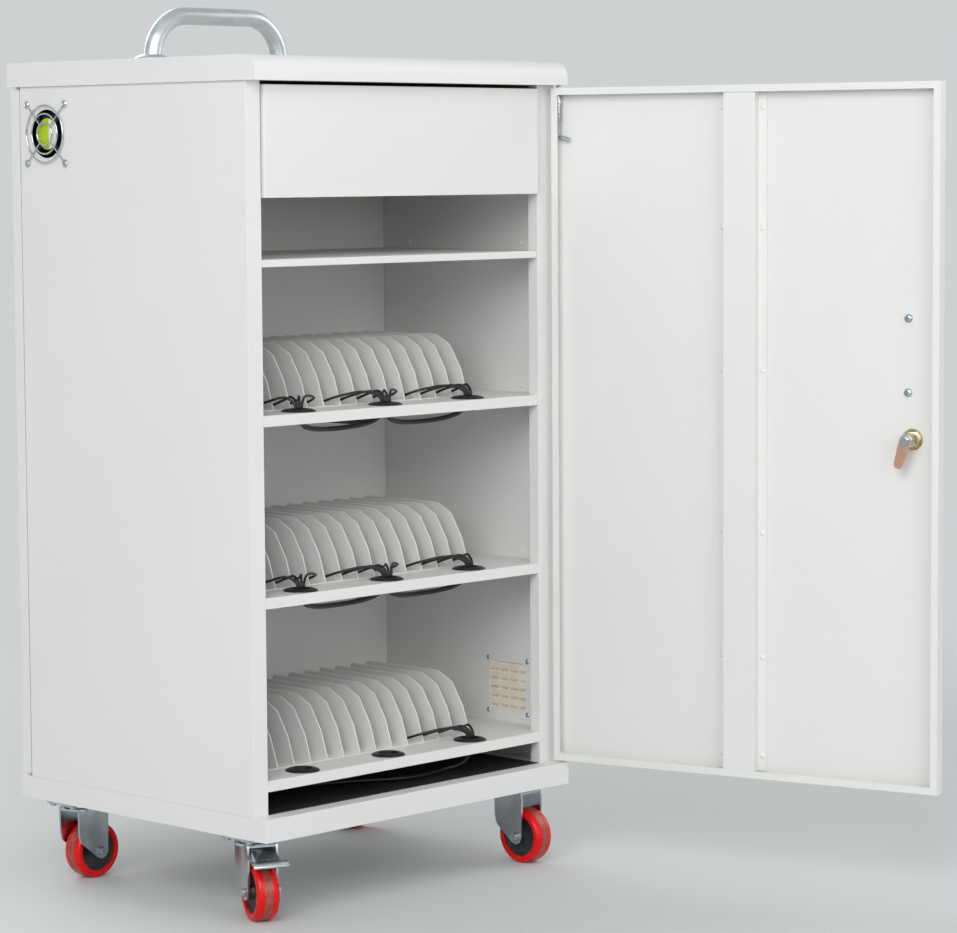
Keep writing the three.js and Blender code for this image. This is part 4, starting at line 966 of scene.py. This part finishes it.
def add_handle():
    place = placed(moved(0, HANDLE_Y, CAP_TOP))
    tube = sizes().handle_tube / MM
    lean = radians(HANDLE_LEAN)
    foot = 7
    crest = HANDLE_RISE - tube / 2
    bend_z = crest - HANDLE_BEND
    straight = bend_z + HANDLE_BEND * sin(lean)
    bend_x = -HANDLE_HALF + straight * tan(lean) + HANDLE_BEND * cos(lean)
    line = [(-HANDLE_HALF + foot * tan(lean), 0, foot)]
    for step in range(13):
        angle = pi - lean - (pi / 2 - lean) * step / 12
        line.append((bend_x + HANDLE_BEND * cos(angle), 0, bend_z + HANDLE_BEND * sin(angle)))
    line += [(bend_x / 2, 0, crest), (0, 0, crest)]
    line += [(-x, y, z) for x, y, z in reversed(line[:-1])]
    meshes = [swept("handle", line, tube, 32, place)]
    rim = HANDLE_ROSE / 2
    top = ROSE_HEIGHT
    rose = [
        (0, top), (rim - 8.5, top), (rim - 7, top - 0.4), (rim - 5.6, top - 1.4), (rim - 2.6, top - 2.8),
        (rim - 0.7, top - 4), (rim, top - 5.4), (rim, 0.3), (rim - 0.3, 0), (0, 0),
    ]
    feet = (-HANDLE_HALF, HANDLE_HALF)
    meshes += [turned("rose", rose, 48, place @ moved(x, 0, 0)) for x in feet]
    mesh = joined("push_handle", meshes)
    piece("push_handle", mesh, "cabinet", "plated_tube", ["top_handle"])


class CART_OT_handle(Operator):
    """Push handle of bent plated tube on two roses"""

    bl_idname = "cart.handle"
    bl_label = "Push handle"

    def execute(self, context):
        add_handle()
        return {"FINISHED"}


def add_rotor(place):
    seat = place @ moved(0, 0, ROTOR_DEPTH)
    profile = [(3.3, 22.6), (19.6, 23.4), (20.6, 22.6), (21, 21.4), (21, 6.6), (20.6, 6), (3.3, 6)]
    hub = turned("hub", profile, 48)
    blades = sizes().blades
    turn = 2 * pi / blades
    mesh = grown(hub, repeat_tree(), fan_blade(), Count=blades, Turn=turn, Finish=surface("moulded_black"))
    mesh.transform(seat)
    piece("fan_impeller", shaded(mesh), "fan_rotor", None, ["fan_rotor"])
    add_label(seat)


def add_label(seat):
    """A plain disc, lime to the rear of a chord and white before it."""
    disc = turned("label", [(0, -0.35), (21.4, -0.35), (21.8, -0.1), (21.8, 0.05), (0, 0.05)], 64, seat)
    disc.materials.append(surface("label_paper"))
    radius, chord = 21.2, 3.5
    start = pi + asin(chord / radius)
    arc = np.linspace(start, 3 * pi - start, 33)
    outline = [(radius * cos(a), radius * sin(a)) for a in arc]
    blank = prism("blank", outline, -0.5, -0.3, seat)
    blank.materials.append(surface("blank_paper"))
    piece("fan_label", joined("fan_label", [disc, blank]), "cabinet")


def fan_blade():
    """A cambered blade that flattens from its root to its tip."""
    root, span, chord, middle = 19.5, 21, 21, 14.5
    rows, columns = 8, 6
    points = []
    for row in range(rows + 1):
        pitch = radians(42 - 16 * row / rows)
        for column in range(columns + 1):
            along = chord * (column / columns - 0.5)
            camber = 1.6 * (1 - (2 * along / chord) ** 2)
            y = along * cos(pitch) - camber * sin(pitch)
            z = middle + along * sin(pitch) + camber * cos(pitch)
            points.append((root + span * row / rows, y, z))
    wide = columns + 1
    corners = [row * wide + column for row in range(rows) for column in range(columns)]
    faces = [[c, c + 1, c + wide + 1, c + wide] for c in corners]
    return finished(mesh_of("blade", points, faces), "SOLIDIFY", thickness=1.3, offset=0)


def add_guard(place):
    meshes = []
    for radius in GUARD_RINGS:
        line = [(x, y, -3.9) for x, y in circle(radius, 72)]
        meshes.append(swept("ring", line, GUARD_WIRE, 12, place, True))
    reach = FAN_SCREW_PITCH / sqrt(2)
    for quarter in range(4):
        turn = spun(45 + 90 * quarter, "Z")
        arm = route([(15, 0, -1.9), (30, 0, -1.9), (46, 0, -1.9), (53, 0, -1.6)], 6)
        meshes.append(swept("arm", arm, GUARD_WIRE, 12, place @ turn))
        eye = [(x, y, -1.5) for x, y in circle(GUARD_EYE, 28, (reach, 0))]
        meshes.append(swept("eye", eye, GUARD_WIRE, 10, place @ turn, True))
    mesh = joined("finger_guard", meshes)
    piece("finger_guard", mesh, "cabinet", "chrome_wire", ["fan_guard"])
    half = FAN_SCREW_PITCH / 2
    seats = [((y, z, -1.2), (0, 0, -1)) for y, z in four(half, half)]
    seated("fan_screws", pan_head(), seats, place, "cabinet", "bright_zinc", sizes().screw)


class CART_OT_fan(Operator):
    """Fan in the left panel: frame, bladed rotor with a plain label, and chromed finger guard"""

    bl_idname = "cart.fan"
    bl_label = "Fan"

    def execute(self, context):
        place = placed(moved(*FAN_CENTRE), spun(90, "Y"))
        folded("fan_frame", "moulded_black", 0.6 * MM)
        add_rotor(place)
        add_guard(place)
        return {"FINISHED"}


class CART_OT_power(Operator):
    """Vent cover, power unit and mains inlet"""

    bl_idname = "cart.power"
    bl_label = "Vent and power"

    def execute(self, context):
        folded("vent_cover", "ivory_polypropylene", 0.6 * MM)
        folded("power_unit", "moulded_black", 1.6 * MM, 3)
        folded("mains_inlet", "moulded_black", 0.6 * MM)
        x, y, z = VENT_CENTRE
        face = x + COVER_FACE
        seats = [((RIGHT_WALL, y + a, z + b), (-1, 0, 0)) for a, b in four(INNER_SCREWS, INNER_SCREWS)]
        seats += [((face, y + a, z + b), (1, 0, 0)) for a, b in four(OUTER_SCREWS, OUTER_SCREWS)]
        seated("vent_screws", pan_head(), seats, placed(), "cabinet", "bright_zinc", sizes().screw)
        return {"FINISHED"}


def add_welds(place):
    seats = [((x, WELD_FACE, z), (0, -1, 0)) for z in WELD_HEIGHTS for x in STIFFENER_FLANGES]
    seated("stiffener_welds", weld_dome(), seats, place, "front_door", "powder_coat", WELD * MM)
    screws = [((PULL_X, DOOR_SKIN, PULL_Z + z), (0, -1, 0)) for z in (-PULL_SPAN, PULL_SPAN)]
    seated("pull_screws", pan_head(), screws, place, "front_door", "bright_zinc", PULL_SCREW * MM)


def add_bolt(place):
    bottom = DOOR_TOP - 1.5 - BOLT_LENGTH
    tip = CAP_BOTTOM + 3
    profile = [(0, bottom - 3), (2.4, bottom - 3), (3, bottom - 2), (3, tip - 2), (2, tip), (0, tip)]
    rod = turned("rod", profile, 24, place)
    line = [(0, 0, bottom), (8, 0, bottom - 2.2), (17.4, 0, bottom - 4.7)]
    arm = swept("arm", line, 6, 20, place)
    profile = [(2.9, 0), (4.6, 0), (5, 0.5), (5, 6.5), (4.6, 7), (2.9, 7)]
    collar_foot = DOOR_TOP - 22.5
    collar = turned("collar", profile, 28, place @ moved(0, 0, collar_foot))
    turns, radius, rise = 7, 4.1, 25
    coil = []
    for share in np.linspace(0, 1, turns * 16 + 1):
        angle = 2 * pi * turns * share
        height = collar_foot - rise * (1 - share)
        coil.append((radius * cos(angle), radius * sin(angle), height))
    mesh = joined("spring_bolt", [rod, arm, collar, swept("spring", coil, 1.1, 8, place)])
    piece("spring_bolt", mesh, "hinge_bolt", "bright_zinc", ["hinge_bolt"])


def add_lock(place):
    seat = place @ moved(LOCK_X, 0, LOCK_Z) @ spun(-90, "X")
    profile = [
        (0, -18), (8.4, -18), (9.2, -17.2), (9.5, -16), (9.5, 8.4), (11.6, 8.4), (12.4, 8.8), (12.5, 9.6),
        (12.2, 11.2), (11, 12), (5.4, 12), (5, 11.2), (0, 11.2),
    ]
    barrel = turned("barrel", profile, 48, seat)
    nut = rounded(prism("nut", circle(12.5, 6), 1.2, 6.2, seat), 0.8 * MM, 3)
    profile = [(9.6, 4.9), (14.6, 4.9), (15, 5.3), (15, 6), (14.6, 6.4), (9.6, 6.4)]
    mesh = joined("lock_barrel", [barrel, nut, turned("washer", profile, 48, seat)])
    piece("lock_barrel", mesh, "front_door", "yellow_passivate", ["lock_body"])
    add_cam(place)


def add_cam(place):
    """The cam plate on the barrel's end, held by a hexagon screw."""
    tilt = spun(CAM_TILT, "Y") @ spun(90, "X")
    seat = place @ moved(LOCK_X, 0, LOCK_Z) @ tilt
    near, far, wide, narrow, reach = 18.3, 21.3, 8.5, 6.8, 33.5
    arc = [pi * step / 16 for step in range(17)]
    outline = [(wide * cos(a), wide * sin(a)) for a in arc]
    outline += [(-narrow * cos(a), -reach - narrow * sin(a)) for a in arc]
    mesh = rounded(prism("cam", outline, near, far, seat), 0.7 * MM, 3)
    piece("lock_cam_plate", mesh, "lock_cam", "copper_wash", ["lock_cam"])
    seats = [((0, 0, far), (0, 0, 1))]
    seated("cam_screw", hex_head(), seats, seat, "lock_cam", "bright_zinc", CAM_SCREW * MM)


def add_pull(place):
    root, shoulder, bend, crest = 6.7, 22.3, 31.7, 33.8
    lower = [(root, 1), (12, 1), (shoulder, 1 - 1.5 / PULL_SPAN), (bend, 0.8), (crest, 0.4)]
    lower = [(0, y, -share * PULL_SPAN) for y, share in lower]
    upper = [(x, y, -z) for x, y, z in reversed(lower)]
    seat = place @ moved(PULL_X, 0, PULL_Z)
    line = route([*lower, (0, crest + 0.4, 0), *upper])
    meshes = [swept("pull", line, sizes().pull_rod / MM, 24, seat)]
    profile = [(0, 8.1), (7.4, 8.1), (7.8, 8.5), (7.8, 9.6), (7, 10.6), (5, 11.4), (0, 11.4)]
    for z in (-PULL_SPAN, PULL_SPAN):
        foot = seat @ moved(0, 0, z) @ spun(-90, "X")
        meshes.append(turned("foot", profile, 32, foot))
    mesh = joined("door_pull_bow", meshes)
    piece("door_pull_bow", mesh, "front_door", "bright_zinc", ["door_pull"])


class CART_OT_doors(Operator):
    """Front door with stiffener, spot welds, spring bolt, cam lock and pull, and the rear door"""

    bl_idname = "cart.doors"
    bl_label = "Doors"

    def execute(self, context):
        place = placed(moved(*HINGE, 0), spun(DOOR_TURN, "Z"))
        for node in ("front_door", "door_stiffener", "rear_door"):
            folded(node, "powder_coat")
        add_welds(place)
        add_bolt(place)
        add_lock(place)
        add_pull(place)
        return {"FINISHED"}


def add_wheel(corner, place):
    seat = place @ moved(0, TRAIL, AXLE_Z) @ spun(90, "Y")
    rim = sizes().wheel / MM / 2
    half = [
        (rim - 10.6, 12.6), (rim - 10, 15), (rim - 8.6, 15.9), (rim - 5, 16), (rim - 3.2, 15.4),
        (rim - 1.4, 13.4), (rim - 0.4, 10.8), (rim - 0.05, 8.2), (rim, LINE_HALF),
    ]
    tread = turned("tread", half + [(r, -z) for r, z in reversed(half)], 72)
    tread.materials.append(surface("tread_polyurethane"))
    tread.materials.append(surface("tread_over_core"))
    # Faces of the flat running band, across the middle of the rim, take the darker red
    for face in tread.polygons:
        centre = face.center
        if abs(centre.z) < LINE_HALF and hypot(centre.x, centre.y) > rim - 2:
            face.material_index = 1
    web = [
        (4.4, 18.6), (8.4, 18.6), (9.1, 17.9), (9.4, 13.5), (11, 10.2), (13, 9.4), (rim - 15, 9.4),
        (rim - 13, 10.4), (rim - 12, 12.2), (rim - 10.4, 12.7),
    ]
    core = turned("core", web + [(r, -z) for r, z in reversed(web)], 72)
    core.materials.append(surface("wheel_core_nylon"))
    mesh = joined("wheel", [tread, core])
    mesh.transform(seat)
    node = f"caster_wheel_{corner}"
    piece(f"wheel_{corner}_cast", mesh, f"wheel_{corner}", None, [node])


def add_pedal(corner, place):
    """The pressed pedal with a stiffening cheek along each side."""
    node = f"brake_pedal_{corner}"
    meshes = [rounded(solid_of(node), 0.8 * MM)]
    cheek = [(2, -3), (15, 1), (36, -9), (40, -11), (37, -15), (22, -11), (6, -9)]
    seat = place @ moved(*PEDAL_PIVOT) @ UPRIGHT
    for near, far in CHEEKS:
        meshes.append(rounded(prism("cheek", cheek, near, far, seat), 0.5 * MM))
    name = f"{node}_pressed"
    piece(name, joined(name, meshes), f"pedal_{corner}", "bright_zinc", [node])


def add_bolts(corner, x, y):
    seats = [((x + a, y + b, PLATE_BOTTOM), (0, 0, -1)) for a, b in four(*BOLT_GRID)]
    name = f"plate_bolts_{corner}"
    seated(name, hex_head(), seats, placed(), "cabinet", "bright_zinc", PLATE_BOLT * MM)


class CART_OT_casters(Operator):
    """Swivel casters: plate, fork, axle, wheel and, on two of them, a brake pedal"""

    bl_idname = "cart.casters"
    bl_label = "Casters"

    def execute(self, context):
        for corner, (x, y, turn) in CORNERS.items():
            place = placed(moved(x, y, 0), spun(turn, "Z"))
            for part, edge in (("plate", 0.8), ("fork", 0.9), ("axle", 0.6)):
                folded(f"caster_{part}_{corner}", "bright_zinc", edge * MM)
            add_wheel(corner, place)
            add_bolts(corner, x, y)
            if corner in BRAKED:
                add_pedal(corner, place)
        return {"FINISHED"}


OPERATORS = (
    CART_OT_stage, CART_OT_leads, CART_OT_cabinet, CART_OT_racks, CART_OT_grommets, CART_OT_handle,
    CART_OT_fan, CART_OT_power, CART_OT_doors, CART_OT_casters,
)


class CART_PT_sidebar(Panel):
    """Sizes, colours and the build steps of the cart"""

    bl_idname = "CART_PT_sidebar"
    bl_label = "Charging cart"
    bl_space_type = "VIEW_3D"
    bl_region_type = "UI"
    bl_category = "Cart"

    def draw(self, context):
        for group in (context.scene.cart_sizes, context.scene.cart_colours):
            for key in group.__annotations__:
                self.layout.prop(group, key)
        for operator in OPERATORS:
            self.layout.operator(operator.bl_idname)


CLASSES = (CartSizes, CartColours, *OPERATORS, CART_PT_sidebar)


def register():
    for kind in CLASSES:
        bpy.utils.register_class(kind)
    bpy.types.Scene.cart_sizes = PointerProperty(type=CartSizes)
    bpy.types.Scene.cart_colours = PointerProperty(type=CartColours)


def unregister():
    del bpy.types.Scene.cart_colours
    del bpy.types.Scene.cart_sizes
    for kind in reversed(CLASSES):
        bpy.utils.unregister_class(kind)


def main():
    register()
    for operator in OPERATORS:
        getattr(bpy.ops.cart, operator.bl_idname.split(".")[1])()
    bpy.context.view_layer.update()


if __name__ == "__main__":
    main()
